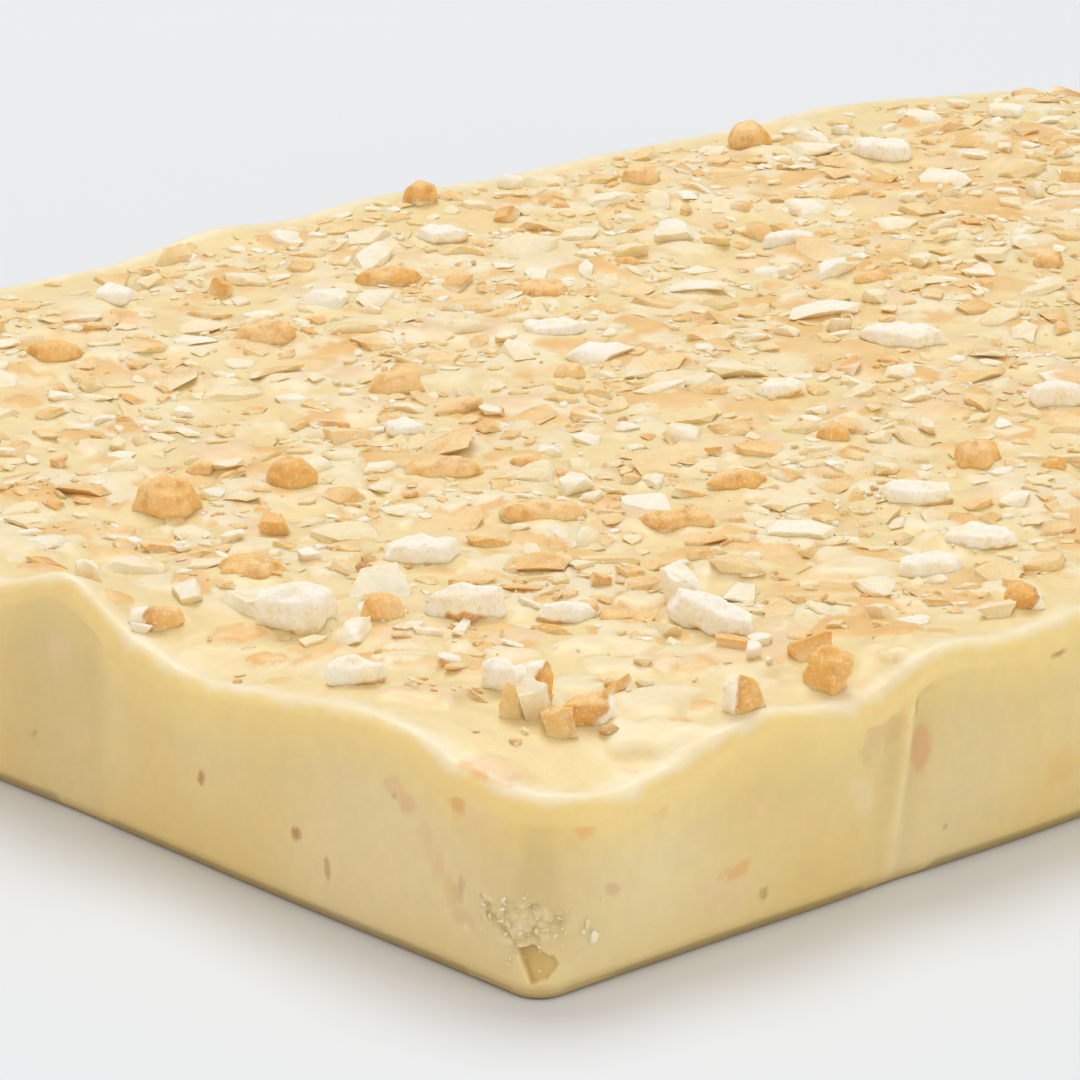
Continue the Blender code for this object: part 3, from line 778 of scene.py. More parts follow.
bmesh.ops.triangulate(square, faces=[face for face in square.faces if len(face.verts) > 4])

fudge_mesh = bpy.data.meshes.new("fudge")
square.to_mesh(fudge_mesh)
fudge_mesh.shade_smooth()
skin = BVHTree.FromBMesh(square)
square.free()
fudge = bpy.data.objects.new("fudge", fudge_mesh)
bpy.context.scene.collection.objects.link(fudge)

FUDGE_SOFT_DEPTH = 1.6 * MM
fudge_finish = Finish(
    "fudge",
    {
        "Subsurface Weight": 0.7,
        "Subsurface Radius": (1.0, 0.72, 0.30),
        "Subsurface Scale": FUDGE_SOFT_DEPTH,
        "Specular IOR Level": 0.42,
    },
)
place = fudge_finish.place()
fine = fudge_finish.grain(place, 2.2 * MM, 2.0, 0.6)
shade = fudge_finish.ramp(fine, 0.25, 0.75, 0.975, 1.015)
skin_tone = fudge_finish.painted("tone", "Color")
below_skin_tone = fudge_finish.painted("spot_tone", "Color")
ragged = fudge_finish.grain(place, 1.6 * MM, 3.0, 0.6)
shows = fudge_finish.ramp(fudge_finish.painted("spot") + (ragged - 0.5) * 0.9, 0.22, 0.85)
tone_signal = fudge_finish.tint(shows, skin_tone, below_skin_tone)
fudge_finish.feed("Base Color", fudge_finish.shaded(tone_signal, shade))
fudge_finish.feed("Roughness", fudge_finish.ramp(fine, 0.3, 0.7, 0.36, 0.52))
rough_chip = fudge_finish.painted("gritty") * 2.0 + 0.6
fudge_finish.bump(fudge_finish.grain(place, 1.4 * MM, 3.0, 0.65) * rough_chip, 0.3 * MM, 0.5)
fudge.data.materials.append(fudge_finish.material)
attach(fudge, "root")
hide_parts("fudge_slab")

# ---- The large pieces of biscuit -----------------------------------------------------------------
# Vanilla biscuits, crushed by hand and strewn on while the fudge was soft. Inside they are a dry, cream
# white, porous crumb; outside a thin golden face that browns at its edges. Each piece keeps the form of
# its own solid: the pale ones lie baked side down, the baked ones show that side, and the edge pieces
# stand, with the baked side to one side.

CRUMB_WHITE = Vector((1.0, 0.96, 0.86))
CRUMB_CREAM = Vector((0.98, 0.89, 0.68))
# Painted shade in the crumb's pores.
CRUMB_PORE_SHADE = Vector((0.86, 0.66, 0.36))
BAKED_TAN = Vector((0.93, 0.66, 0.31))
BAKED_GOLDEN = Vector((0.88, 0.52, 0.15))
BAKED_BROWN = Vector((0.52, 0.23, 0.05))
SUGAR = Vector((0.95, 0.84, 0.66))
CRUMB_ROUGHNESS = 0.85
BAKED_ROUGHNESS = 0.64
PIECE_SOFT_DEPTH = 0.9 * MM
# It takes the top's colour, painted sheen and all.
FUDGE_FILM = Vector(FUDGE_TOP_WITH_SHEEN)
NEAR_PIECE_SKIN = 0.30 * MM
FAR_PIECE_SKIN = 0.45 * MM
NEAR_REACH = 85 * MM
PIECE_BEVEL = 0.18 * MM


def even_skin(rough_form, spacing):
    """The same shape with an even skin of small faces, ready to be broken up."""
    rough_mesh = bpy.data.meshes.new("rough")
    rough_form.to_mesh(rough_mesh)
    rough_form.free()
    rough = bpy.data.objects.new("rough", rough_mesh)
    bpy.context.scene.collection.objects.link(rough)
    remesh = rough.modifiers.new("even", "REMESH")
    remesh.mode = "VOXEL"
    remesh.voxel_size = spacing
    bpy.context.view_layer.update()
    even = rough.evaluated_get(bpy.context.evaluated_depsgraph_get())
    even_form = bmesh.new()
    even_form.from_mesh(even.to_mesh())
    even.to_mesh_clear()
    bpy.data.objects.remove(rough)
    bpy.data.meshes.remove(rough_mesh)
    return even_form


def step(low, high, value):
    share = min(1.0, max(0.0, (value - low) / (high - low)))
    return share * share * (3 - 2 * share)


def biscuit_tone(point, towards_face, low_share, toast, seed):
    """The colour at a point of a biscuit, and how far it shows the baked face.

    towards_face is above 0 on the baked face and below 0 on the broken crumb; low_share is 1 where the
    fudge holds the piece; toast is how brown the baked face is.
    """
    coarse = noise.noise(point * 160 + seed)
    fine = noise.noise(point * 620 + seed)
    grain = noise.noise(point * 1900 + seed)
    crumb = CRUMB_WHITE.lerp(CRUMB_CREAM, step(-0.15, 0.75, coarse + 0.7 * fine))
    # Painted shade in the pores.
    crumb = crumb.lerp(CRUMB_PORE_SHADE, 0.55 * step(0.22, 0.6, grain))
    towards_face += 0.30 * coarse + 0.16 * fine
    face = step(-0.07, 0.07, towards_face)
    baked = BAKED_TAN.lerp(BAKED_GOLDEN, step(-0.45, 0.4, coarse + 0.5 * fine + toast))
    edge = step(0.55, 0.05, towards_face)
    baked = baked.lerp(BAKED_BROWN, min(1.0, edge * (0.25 + 0.4 * toast) + 0.35 * step(0.1, 0.5, fine)))
    baked = baked.lerp(SUGAR, 0.22 * step(0.28, 0.5, grain))
    tone = crumb.lerp(baked, face)
    film = low_share * (0.3 + 0.6 * step(-0.25, 0.3, coarse - fine))
    return tone.lerp(FUDGE_FILM, film), face


def biscuit_finish(name, roughness, soft_depth):
    """Dry, porous biscuit; soft_depth is how far light goes into it."""
    finish = Finish(
        name,
        {"Subsurface Weight": 0.6, "Subsurface Radius": (1.0, 0.85, 0.65), "Subsurface Scale": soft_depth},
    )
    place = finish.place()
    fine = finish.grain(place, 1.0 * MM, 4.0, 0.7)
    tone = finish.painted("tone", "Color")
    shade = finish.ramp(fine, 0.25, 0.75, 0.92, 1.05)
    grit = finish.ramp(finish.grain(place, 0.38 * MM, 1.0), 0.58, 0.68)
    tone = finish.tint(grit * 0.45, tone, (*SUGAR, 1.0))
    finish.feed("Base Color", finish.shaded(tone, shade))
    finish.feed("Roughness", finish.ramp(fine, 0.3, 0.7, roughness - 0.08, roughness + 0.1))
    finish.bump(fine, 0.35 * MM, 0.6)
    return finish


def biscuit_object(name, biscuit_form, tones, finish):
    mesh = bpy.data.meshes.new(name)
    biscuit_form.to_mesh(mesh)
    biscuit_form.free()
    mesh.shade_smooth()
    colours = np.ones((len(tones), 4), np.float32)
    colours[:, :3] = tones
    mesh.attributes.new("tone", "FLOAT_COLOR", "POINT").data.foreach_set("color", colours.ravel())
    mesh.materials.append(finish.material)
    made = bpy.data.objects.new(name, mesh)
    bpy.context.scene.collection.objects.link(made)
    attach(made, "root")
    return made


# How deep the large, middle and granular breaks of each kind's surface are.
BREAK_DEPTHS = {
    "pale": (0.50 * MM, 0.40 * MM, 0.24 * MM),
    "edge": (0.60 * MM, 0.50 * MM, 0.34 * MM),
    "baked": (0.60 * MM, 0.34 * MM, 0.14 * MM),
}
# Each piece is drawn in at its foot, so that it overhangs the fudge a little.
FOOT_PINCH = 0.16
PIECE_SEED = 61
# The baked face of each piece: the heading and rise of the way it looks, where on the way to it the
# face starts, and how brown it is. The rest of the pieces draw theirs.
BAKED_FACES = {
    "pale_piece_01": (-132, -3.0, 0.66, 0.1),
    "pale_piece_02": (-125, -2.0, 0.34, 0.5),
    "pale_piece_03": (-100, -2.2, 0.40, 0.3),
    "pale_piece_04": (-132, -1.5, 0.85, 0.0),
    "pale_piece_05": (-132, -2.2, 0.30, 0.7),
    "pale_piece_06": (-160, -1.5, 0.35, 0.5),
    "pale_piece_07": (-132, -1.5, 0.60, 0.1),
    "pale_piece_08": (-120, -1.5, 0.45, 0.2),
    "pale_piece_09": (-110, -1.6, 0.45, 0.2),
    "pale_piece_10": (-110, -1.6, 0.40, 0.3),
    "edge_piece_01": (-55, -0.3, 0.34, 0.5),
    "edge_piece_02": (160, 0.9, -0.10, 0.1),
    "edge_piece_03": (-50, -0.1, 0.10, 0.5),
    "edge_piece_04": (-132, 0.0, -2.0, 0.7),
    "edge_piece_05": (150, 0.6, 0.0, 0.9),
    "baked_piece_01": (-132, 1.0, -2.0, -0.2),
    "baked_piece_02": (-132, 1.0, -2.0, 0.0),
    "baked_piece_03": (-42, 0.8, -0.6, 0.6),
    "baked_piece_04": (-42, 0.2, -0.25, 0.2),
    "baked_piece_05": (-132, 1.0, -2.0, 0.0),
    "baked_piece_08": (-132, 1.0, -2.0, 0.3),
}

crumb_finish = biscuit_finish("biscuit_crumb", CRUMB_ROUGHNESS, PIECE_SOFT_DEPTH)
baked_finish = biscuit_finish("baked_biscuit", BAKED_ROUGHNESS, PIECE_SOFT_DEPTH)
draw = random.Random(PIECE_SEED)
for name in piece_names:
    kind = name.split("_")[0]
    low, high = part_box(name)
    middle = (low + high) / 2
    half = (high - low) / 2
    away = from_near_corner(middle.x, middle.y)
    seed = Vector([draw.uniform(0, 50) for _ in range(3)])
    drawn = {
        "pale": (draw.uniform(-180, 180), -2.0, 0.42, draw.uniform(-0.3, 0.6)),
        "edge": (draw.uniform(-75, -25), -0.1, 0.3, 0.3),
        "baked": (draw.uniform(-180, 180), 3.0, -0.45, draw.uniform(-0.4, 0.5)),
    }[kind]
    heading_of_face, rise, face_starts, toast = BAKED_FACES.get(name, drawn)
    turn = math.radians(heading_of_face)
    towards = Vector((math.cos(turn), math.sin(turn), rise)).normalized()
    piece_form = bmesh.new()
    piece_form.from_mesh(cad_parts[name].data)
    bmesh.ops.remove_doubles(piece_form, verts=piece_form.verts, dist=0.01 * MM)
    bmesh.ops.bevel(
        piece_form,
        geom=piece_form.edges[:],
        offset=PIECE_BEVEL,
        affect="EDGES",
        segments=2,
        profile=0.5,
        material=-1,
    )
    piece_form = even_skin(piece_form, NEAR_PIECE_SKIN if away < NEAR_REACH else FAR_PIECE_SKIN)
    bmesh.ops.smooth_vert(
        piece_form, verts=piece_form.verts, factor=0.5, use_axis_x=True, use_axis_y=True, use_axis_z=True
    )
    piece_form.normal_update()
    large, medium, small = BREAK_DEPTHS[kind]
    tones = []
    moves = []
    for vert in piece_form.verts:
        point = vert.co.copy()
        from_middle = Vector(((point[axis] - middle[axis]) / half[axis] for axis in range(3)))
        low_share = step(-0.05, -0.42, from_middle.z)
        tone, face = biscuit_tone(point, from_middle.dot(towards) - face_starts, low_share, toast, seed)
        granule = 0.5 - noise.voronoi(point * 900)[0][0]
        bulge = large * noise.noise(point * 190 + seed) + medium * noise.noise(point * 480 + seed) - 0.1 * MM
        bulge += small * granule * (1 - 0.55 * face)
        pinch = FOOT_PINCH * step(0.05, -0.45, from_middle.z) * (1 + 0.8 * noise.noise(point * 250 + seed))
        inward = Vector((middle.x - point.x, middle.y - point.y, 0)) * pinch
        moves.append(vert.normal * bulge + inward)
        tones.append(tone)
    for vert, move in zip(piece_form.verts, moves):
        vert.co += move
    finish = baked_finish if kind == "baked" else crumb_finish
    piece = biscuit_object(name + "_broken", piece_form, tones, finish)
    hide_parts(name)
    "baked_biscuit" if kind == "baked" else "biscuit_crumb"

# ---- The broken bits -----------------------------------------------------------------------------
# Smaller breakings of the same biscuits, from shards of 15 mm to flakes of the baked face and single
# crumbs. They lie on and in the fudge, thickest away from the rim and from the near corner.

BIT_SEED = 47
BIT_SOFT_DEPTH = 0.15 * MM
SHARD_EDGE = math.radians(48)
SHARD_COUNT = 1350
SHARD_LENGTHS = (3.2 * MM, 13.0 * MM)
FLAT_COUNT = 150
FLAT_LENGTHS = (8.0 * MM, 15.0 * MM)
FLAKE_COUNT = 1200
FLAKE_LENGTHS = (1.6 * MM, 5.0 * MM)
CRUMB_BIT_COUNT = 1500
CRUMB_BIT_LENGTHS = (0.7 * MM, 2.2 * MM)
BROWN_COUNT = 60
DUST_COUNT = 1500
DUST_LENGTHS = (0.25 * MM, 0.7 * MM)
BIT_RIM_MARGIN = 2.0 * MM
BARE_CORNER_LENGTH = 2.6 * MM
BARE_RIM = 13 * MM
SINGLE_SUNK_SHARE = 0.3
# Single bits near the near corner: x, y, length, width, height in millimetres, turn, lean, kind.
NEAR_BITS = [
    (-104.4, -75.6, 9.6, 5.2, 7.6, -84, 0, "pale"),
    (-109.1, -93.4, 4.6, 3.2, 2.2, -40, 0, "pale"),
    (-111.6, -90.8, 9.0, 2.2, 2.4, -80, 0, "baked"),
    (-112.3, -96.6, 3.2, 2.4, 3.8, 30, 0, "pale"),
    (-112.9, -99.4, 1.8, 1.4, 1.3, 30, 0, "pale"),
    (-106.4, -101.2, 7.0, 4.6, 4.4, -55, 0, "baked"),
    (-125.8, -110.0, 3.8, 2.8, 5.2, -40, 0, "baked"),
    (-79.2, -106.2, 6.4, 4.0, 2.8, -42, 0, "pale"),
    (-129.5, -68.7, 2.2, 1.0, 1.6, 40, 30, "baked"),
    (-130.8, -72.3, 4.8, 1.5, 0.7, -45, 4, "pale"),
    (-141.4, -72.6, 4.6, 3.0, 1.8, -50, 12, "pale"),
    (-142.4, -75.0, 3.4, 1.6, 1.2, -20, 10, "baked"),
    (-135.8, -71.4, 3.2, 1.6, 1.0, -30, 15, "baked"),
    (-148.3, -85.1, 4.2, 1.4, 1.1, -65, 10, "baked"),
    (-149.0, -76.0, 3.6, 2.2, 1.3, -40, 12, "baked"),
    (-132.3, -93.1, 5.6, 3.4, 1.6, -50, -16, "baked"),
    (-129.5, -95.0, 3.0, 2.2, 1.4, -10, 10, "pale"),
    (-123.6, -88.2, 2.9, 2.2, 1.6, 10, 0, "pale"),
    (-122.3, -96.1, 1.4, 1.0, 0.8, 30, 0, "baked"),
    (-122.4, -70.8, 6.8, 2.6, 1.2, -46, 3, "baked"),
    (-110.2, -58.2, 3.6, 2.4, 1.4, -30, 10, "baked"),
    (-112.9, -63.0, 2.8, 1.8, 1.2, -60, 10, "baked"),
    (-113.9, -54.8, 6.6, 2.6, 1.3, -44, 4, "baked"),
    (-125.0, -38.0, 3.8, 2.2, 1.6, -35, 20, "brown"),
    (-128.3, -29.2, 4.6, 3.4, 2.0, -35, 5, "pale"),
    (-139.3, -60.9, 2.6, 1.8, 1.1, -35, 0, "baked"),
    (-145.2, -63.4, 1.6, 1.0, 0.8, 30, 0, "baked"),
    (-143.2, -103.0, 3.4, 1.8, 1.4, -10, 20, "brown"),
    (-154.1, -98.8, 2.2, 1.4, 0.9, -20, 0, "baked"),
    (-151.2, -97.2, 1.7, 1.3, 1.0, 30, 0, "pale"),
    (-156.4, -94.4, 1.5, 1.1, 0.7, 30, 0, "baked"),
    (-161.5, -36.5, 3.4, 2.2, 1.8, -40, 0, "pale"),
    (-138.1, -11.0, 6.0, 3.0, 1.6, -45, 8, "baked"),
    (-136.1, -12.8, 3.4, 2.6, 1.8, -20, 0, "pale"),
    (-161.8, -56.2, 1.6, 1.1, 0.8, -30, 0, "baked"),
    (-79.2, -96.3, 4.6, 2.6, 1.3, -40, 8, "baked"),
    (-85.0, -88.3, 1.8, 1.2, 1.0, 70, 20, "baked"),
    (-153.7, -6.8, 7.0, 4.4, 1.3, -46, 4, "baked"),
    (-147.0, -93.7, 5.8, 4.2, 7.6, -50, 0, "pale"),
    (-149.4, -92.4, 2.8, 1.4, 7.0, -50, 0, "baked"),
    (-147.0, -98.2, 6.4, 4.8, 5.0, -45, 0, "baked"),
    (-140.5, -70.5, 1.6, 0.9, 0.6, 20, 0, "baked"),
    (-133.6, -68.9, 1.8, 1.2, 0.7, -40, 0, "baked"),
    (-146.1, -82.7, 2.6, 1.0, 0.8, -60, 0, "baked"),
    (-147.2, -73.6, 2.4, 1.0, 0.7, -30, 0, "baked"),
    (-131.6, -90.9, 3.0, 1.8, 1.1, -50, 0, "baked"),
    (-159.7, -54.1, 1.6, 0.9, 0.6, -20, 0, "baked"),
    (-152.6, -82.6, 1.3, 1.0, 0.7, 10, 0, "baked"),
    (-151.0, -80.4, 1.0, 0.8, 0.6, 50, 0, "baked"),
    (-150.2, -83.2, 0.9, 0.7, 0.6, 80, 0, "pale"),
    (-153.8, -80.4, 1.1, 0.8, 0.6, -20, 0, "baked"),
    (-151.8, -78.9, 0.8, 0.7, 0.5, 30, 0, "pale"),
    (-122.4, -34.9, 3.6, 1.4, 1.3, -40, 10, "brown"),
    (-69.2, -99.0, 4.4, 2.6, 1.7, -40, 6, "baked"),
    (-71.3, -104.4, 4.6, 3.0, 1.7, -40, 0, "pale"),
]


def shard_shape(draw, subdivisions, breaks):
    """A ball 1 across with flat breaks cut off it: the first on top, and the others nearly upright."""
    shard_form = bmesh.new()
    bmesh.ops.create_icosphere(shard_form, subdivisions=subdivisions, radius=0.5)
    for count in range(breaks):
        spin = draw.uniform(-math.pi, math.pi)
        rise = draw.uniform(2.5, 6.0) if count == 0 else draw.uniform(-0.5, 0.5)
        facing = Vector((math.cos(spin), math.sin(spin), rise)).normalized()
        middle = facing * draw.uniform(0.20, 0.38)
        whole = shard_form.verts[:] + shard_form.edges[:] + shard_form.faces[:]
        bmesh.ops.bisect_plane(shard_form, geom=whole, plane_co=middle, plane_no=facing, clear_outer=True)
        open_edges = [edge for edge in shard_form.edges if edge.is_boundary]
        bmesh.ops.holes_fill(shard_form, edges=open_edges, sides=0)
    bmesh.ops.triangulate(shard_form, faces=shard_form.faces)
    mesh = bpy.data.meshes.new("shard")
    shard_form.to_mesh(mesh)
    shard_form.free()
    return mesh


class Strewn:
    """Bits of one kind, joined in one mesh, with their colours."""

    def __init__(self, name, kind, finish):
        self.name = name
        self.kind = kind
        self.finish = finish
        self.form = bmesh.new()
        self.tones = []

    def add(self, shape, place, facing, sizes, turn, lean, sunk_share, draw):
        """One bit: its foot is sunk in the skin, which faces facing at place."""
        seed = Vector([draw.uniform(0, 60) for _ in range(3)])
        toast = draw.uniform(-0.5, 0.6)
        coated = max(0, draw.uniform(-0.45, 0.95)) * (1 if sizes[0] < 5 * MM else 0.75)
        drawn = {"pale": draw.uniform(0.1, 0.9), "baked": draw.uniform(-0.8, 0.1), "brown": -1.5}
        face_starts = drawn[self.kind]
        spin = draw.uniform(-math.pi, math.pi)
        towards = Vector((0.6 * math.cos(spin), 0.6 * math.sin(spin), -0.7 if self.kind == "pale" else 0.7))
        upright = Vector((0, 0, 1)).rotation_difference(facing).to_matrix().to_4x4()
        fudge_line = 2 * sunk_share - 1
        lift = Matrix.Translation((0, 0, sizes[2] * (0.5 - sunk_share)))
        turned = Matrix.Rotation(turn, 4, "Z") @ Matrix.Rotation(lean, 4, "Y")
        placed = Matrix.Translation(place) @ upright @ lift @ turned
        count = len(self.form.verts)
        self.form.from_mesh(shape)
        self.form.verts.ensure_lookup_table()
        for vert in self.form.verts[count:]:
            unit = vert.co * 2
            rough = 1 + 0.30 * noise.noise(unit * 1.7 + seed) + 0.12 * noise.noise(unit * 5 + seed)
            local = Vector((unit.x * sizes[0], unit.y * sizes[1], unit.z * sizes[2])) * rough / 2
            vert.co = placed @ local
            low_share = step(fudge_line + 0.75, fudge_line, unit.z + 0.4 * noise.noise(unit * 3 + seed))
            tone, _ = biscuit_tone(vert.co, unit.dot(towards) - face_starts, low_share, toast, seed)
            if self.kind == "brown":
                tone = tone.lerp(BAKED_BROWN, 0.6)
            self.tones.append(tone.lerp(FUDGE_FILM, coated))


def bit_density(x, y):
    """How thick the bits lie at a point, from 0 to 1."""
    from_corner = from_near_corner(x, y)
    cluster = noise.noise(Vector((x, y, 0)) * 70) + 0.5 * noise.noise(Vector((x, y, 5)) * 180)
    thick = 0.08 + 0.92 * step(-0.25, 0.35, cluster)
    from_near_walls = min(x - NEAR_CORNER.x, y - NEAR_CORNER.y)
    off_walls = 0.1 + 0.9 * step(2 * MM, 12 * MM, from_walls(x, y))
    off_rim = off_walls * (0.03 + 0.97 * step(7 * MM, 24 * MM, from_near_walls))
    return thick * off_rim * (0.12 + 0.88 * step(40 * MM, 80 * MM, from_corner))


def skin_below(x, y):
    """Where the skin lies straight below a point, and the way it faces there."""
    return skin.ray_cast(Vector((x, y, ABOVE_ALL)), Vector((0, 0, -1)))[:2]


def cell_at(x, y):
    return round(x / GAP_CELL), round(y / GAP_CELL)


def take(x, y, length):
    """Marks a circle as taken by something of that length."""
    taken.setdefault(cell_at(x, y), []).append((x, y, length))


def strew(heaps, shapes, near_shapes, count, lengths, skew, flat, sunk_share, tilt, draw, spaced=False):
    """Strews bits over the top, near_shapes by the near corner; spaced ones keep clear of each other."""
    for _ in range(count):
        for _ in range(MOST_TRIES):
            x = draw.uniform(-1, 1) * (SLAB_LONG / 2 - BIT_RIM_MARGIN)
            y = draw.uniform(-1, 1) * (SLAB_WIDE / 2 - BIT_RIM_MARGIN)
            length = mostly_short(draw, lengths, skew)
            from_corner = from_near_corner(x, y)
            overhangs = from_walls(x, y) < 0.6 * length + BIT_RIM_MARGIN
            by_near_rim = min(x - NEAR_CORNER.x, y - NEAR_CORNER.y) < BARE_RIM
            too_long = length > BARE_CORNER_LENGTH and (from_corner < BARE_REACH + 6 * MM or by_near_rim)
            if overhangs or too_long or draw.random() > bit_density(x, y):
                continue
            if spaced:
                cell = cell_at(x, y)
                near = [
                    other
                    for step_x in (-1, 0, 1)
                    for step_y in (-1, 0, 1)
                    for other in taken.get((cell[0] + step_x, cell[1] + step_y), [])
                ]
                if any(math.hypot(x - a, y - b) < CLOSEST * (length + size) for a, b, size in near):
                    continue
            break
        else:
            continue
        hit, facing = skin_below(x, y)
        if hit is None or facing.z < STEEPEST_REST:
            continue
        if spaced:
            take(x, y, length)
        sizes = (length, length * draw.uniform(0.5, 0.85), length * draw.uniform(*flat))
        heap = draw.choice(heaps)
        lean = math.radians(draw.uniform(-tilt, tilt))
        shape = draw.choice(near_shapes if from_corner < NEAR_REACH else shapes)
        turn = draw.uniform(-math.pi, math.pi)
        heap.add(shape, hit, facing, sizes, turn, lean, sunk_share, draw)


MOST_TRIES = 200
CLOSEST = 0.34
GAP_CELL = 9 * MM
ABOVE_ALL = 50 * MM
STEEPEST_REST = 0.6
draw = random.Random(BIT_SEED)
near_shards = [shard_shape(draw, 3, 6) for _ in range(9)]
shards = [shard_shape(draw, 1, 7) for _ in range(16)]
small_near_shards = [shard_shape(draw, 2, 5) for _ in range(9)]
small_shards = [shard_shape(draw, 1, 4) for _ in range(12)]
grains = [shard_shape(draw, 1, 0)]
taken = {}
for name in piece_names:
    low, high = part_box(name)
    for at_x in np.arange(low.x + 1.5 * MM, high.x, 3 * MM):
        for at_y in np.arange(low.y + 1.5 * MM, high.y, 3 * MM):
            if beyond_outline(at_x, at_y, piece_outlines[name]) < 0:
                take(at_x, at_y, 3.5 * MM)

pale_bit_finish = biscuit_finish("pale_bits", CRUMB_ROUGHNESS, BIT_SOFT_DEPTH)
baked_bit_finish = biscuit_finish("baked_bits", BAKED_ROUGHNESS, BIT_SOFT_DEPTH)
pale_shards = Strewn("pale_shards", "pale", pale_bit_finish)
baked_shards = Strewn("baked_shards", "baked", baked_bit_finish)
pale_crumbs = Strewn("pale_crumbs", "pale", pale_bit_finish)
baked_crumbs = Strewn("baked_crumbs", "baked", baked_bit_finish)
brown_crumbs = Strewn("brown_crumbs", "brown", baked_bit_finish)
heaps = {"pale": pale_shards, "baked": baked_shards, "brown": brown_crumbs}

# The crumbs that are part of the slab's own solid stand proud of its top.
CRUMB_STANDS = 0.45 * MM
slab_form = bmesh.new()
slab_form.from_mesh(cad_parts["fudge_slab"].data)
bmesh.ops.remove_doubles(slab_form, verts=slab_form.verts, dist=0.01 * MM)
proud = dict.fromkeys(
    vert
    for vert in slab_form.verts
    if vert.co.z > top_height(vert.co.x, vert.co.y) + CRUMB_STANDS
    and from_walls(vert.co.x, vert.co.y) > 2 * RIM_ROUNDING
)
while proud:
    group = [proud.popitem()[0]]
    for vert in group:
        for edge in vert.link_edges:
            other = edge.other_vert(vert)
            if other in proud:
                del proud[other]
                group.append(other)
    low = Vector([min(vert.co[axis] for vert in group) for axis in range(3)])
    high = Vector([max(vert.co[axis] for vert in group) for axis in range(3)])
    middle = (low + high) / 2
    length = max(high.x - low.x, high.y - low.y) * 1.15
    hit, facing = skin_below(middle.x, middle.y)
    sizes = (length, length * 0.8, (high.z - hit.z) * 1.45)
    kind = draw.choice(("pale", "baked"))
    shape = draw.choice(shards)
    heaps[kind].add(shape, hit, facing, sizes, draw.uniform(-3, 3), 0.0, SINGLE_SUNK_SHARE, draw)
    take(middle.x, middle.y, length)
slab_form.free()

for *places_and_sizes, turn, lean, kind in NEAR_BITS:
    at_x, at_y, *sizes = [value * MM for value in places_and_sizes]
    turn, lean = math.radians(turn), math.radians(lean)
    hit, facing = skin_below(at_x, at_y)
    heaps[kind].add(draw.choice(near_shards), hit, facing, sizes, turn, lean, SINGLE_SUNK_SHARE, draw)
    take(at_x, at_y, sizes[0])

both = [pale_shards, baked_shards]
crumbs = [pale_crumbs, baked_crumbs]
flakes = [baked_crumbs, baked_crumbs, pale_crumbs]
# For each kind of bit: how many, how long, the skew to short ones, the least and greatest height for
# its length, the share that is sunk and the greatest tilt in degrees.
large = (shards, near_shards)
small = (small_shards, small_near_shards)
strew(both, *large, FLAT_COUNT, FLAT_LENGTHS, 1.0, (0.14, 0.22), 0.52, 4, draw, spaced=True)
strew(both, *large, SHARD_COUNT, SHARD_LENGTHS, 1.3, (0.26, 0.42), 0.56, 8, draw, spaced=True)
strew(flakes, *small, FLAKE_COUNT, FLAKE_LENGTHS, 1.5, (0.14, 0.26), 0.48, 5, draw)
strew(crumbs, *small, CRUMB_BIT_COUNT, CRUMB_BIT_LENGTHS, 1.8, (0.4, 0.8), 0.45, 20, draw)
strew([brown_crumbs], *small, BROWN_COUNT, CRUMB_BIT_LENGTHS, 1.2, (0.3, 0.5), 0.45, 10, draw)
strew(crumbs, grains, grains, DUST_COUNT, DUST_LENGTHS, 1.5, (0.5, 1.0), 0.3, 20, draw)
for heap in (pale_shards, baked_shards, pale_crumbs, baked_crumbs, brown_crumbs):
    bits = biscuit_object(heap.name, heap.form, heap.tones, heap.finish)
    bits.data.set_sharp_from_angle(angle=SHARD_EDGE)
    if heap in both:
        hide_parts("fudge_slab")

# ---- The crumbled corner -------------------------------------------------------------------------
# Where the slab was knocked, low on its near corner, grains of the fudge itself hang on the wall.

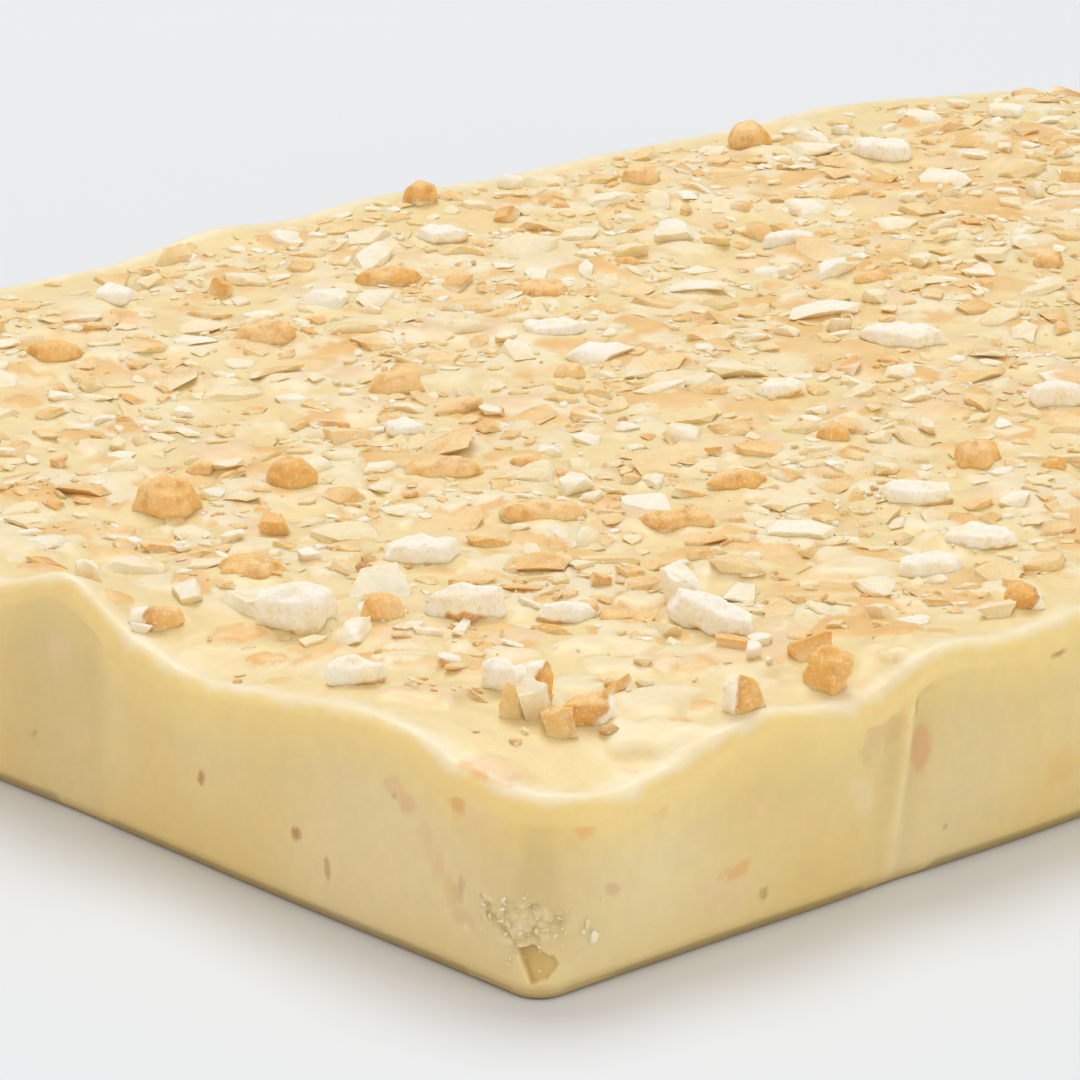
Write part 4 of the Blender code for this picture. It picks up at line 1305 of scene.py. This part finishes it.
WALL_GRAIN_SEED = 71
WALL_GRAIN_COUNT = 70
WALL_GRAIN_LENGTHS = (0.3 * MM, 1.1 * MM)
GRAIN_EDGE = math.radians(38)
OUTSIDE = 20 * MM
GRAIN_PALE = Vector((0.97, 0.90, 0.70))
GRAIN_YELLOW = Vector((0.86, 0.69, 0.34))
# Grains on their own, on the wall to the right of the corner: x, z and length in millimetres.
LONE_GRAINS = [
    (-157.4, 8.5, 1.7),
    (-156.5, 6.6, 2.0),
    (-158.0, 7.6, 0.9),
    (-158.6, 5.0, 0.6),
    (-155.2, 11.0, 0.5),
]

grain_form = bmesh.new()
grain_tones = []
draw = random.Random(WALL_GRAIN_SEED)


def hang_grain(start, looks, length):
    """One grain on the wall that is met on the way from start."""
    hit, facing, _, _ = skin.ray_cast(start, looks)
    count = len(grain_form.verts)
    grain_form.from_mesh(draw.choice(small_shards))
    grain_form.verts.ensure_lookup_table()
    upright = Vector((0, 0, 1)).rotation_difference(facing).to_matrix()
    turned = upright @ Matrix.Rotation(draw.uniform(-math.pi, math.pi), 3, "Z")
    sizes = Matrix.Diagonal((length, length * draw.uniform(0.5, 0.9), length * draw.uniform(0.4, 0.7)))
    tone = GRAIN_YELLOW.lerp(GRAIN_PALE, draw.random())
    for vert in grain_form.verts[count:]:
        vert.co = hit + turned @ (sizes @ vert.co)
        grain_tones.append(tone)


for _ in range(WALL_GRAIN_COUNT):
    along = draw.gauss(-2.2, 3.0) * MM
    height = (draw.gauss(9.2, 1.5) if draw.random() < 0.85 else draw.gauss(5.0, 2.0)) * MM
    start = CHIP_MIDDLE + out_of_corner * OUTSIDE + along_walls * along
    start.z = min(max(height, 1.5 * MM), 14 * MM)
    hang_grain(start, -out_of_corner, mostly_short(draw, WALL_GRAIN_LENGTHS, 2))
for along, height, length in LONE_GRAINS:
    start = Vector((along * MM, -SLAB_WIDE / 2 - OUTSIDE, height * MM))
    hang_grain(start, Vector((0, 1, 0)), length * MM)
wall_grains = biscuit_object("wall_grains", grain_form, grain_tones, pale_bit_finish)
wall_grains.data.set_sharp_from_angle(angle=GRAIN_EDGE)
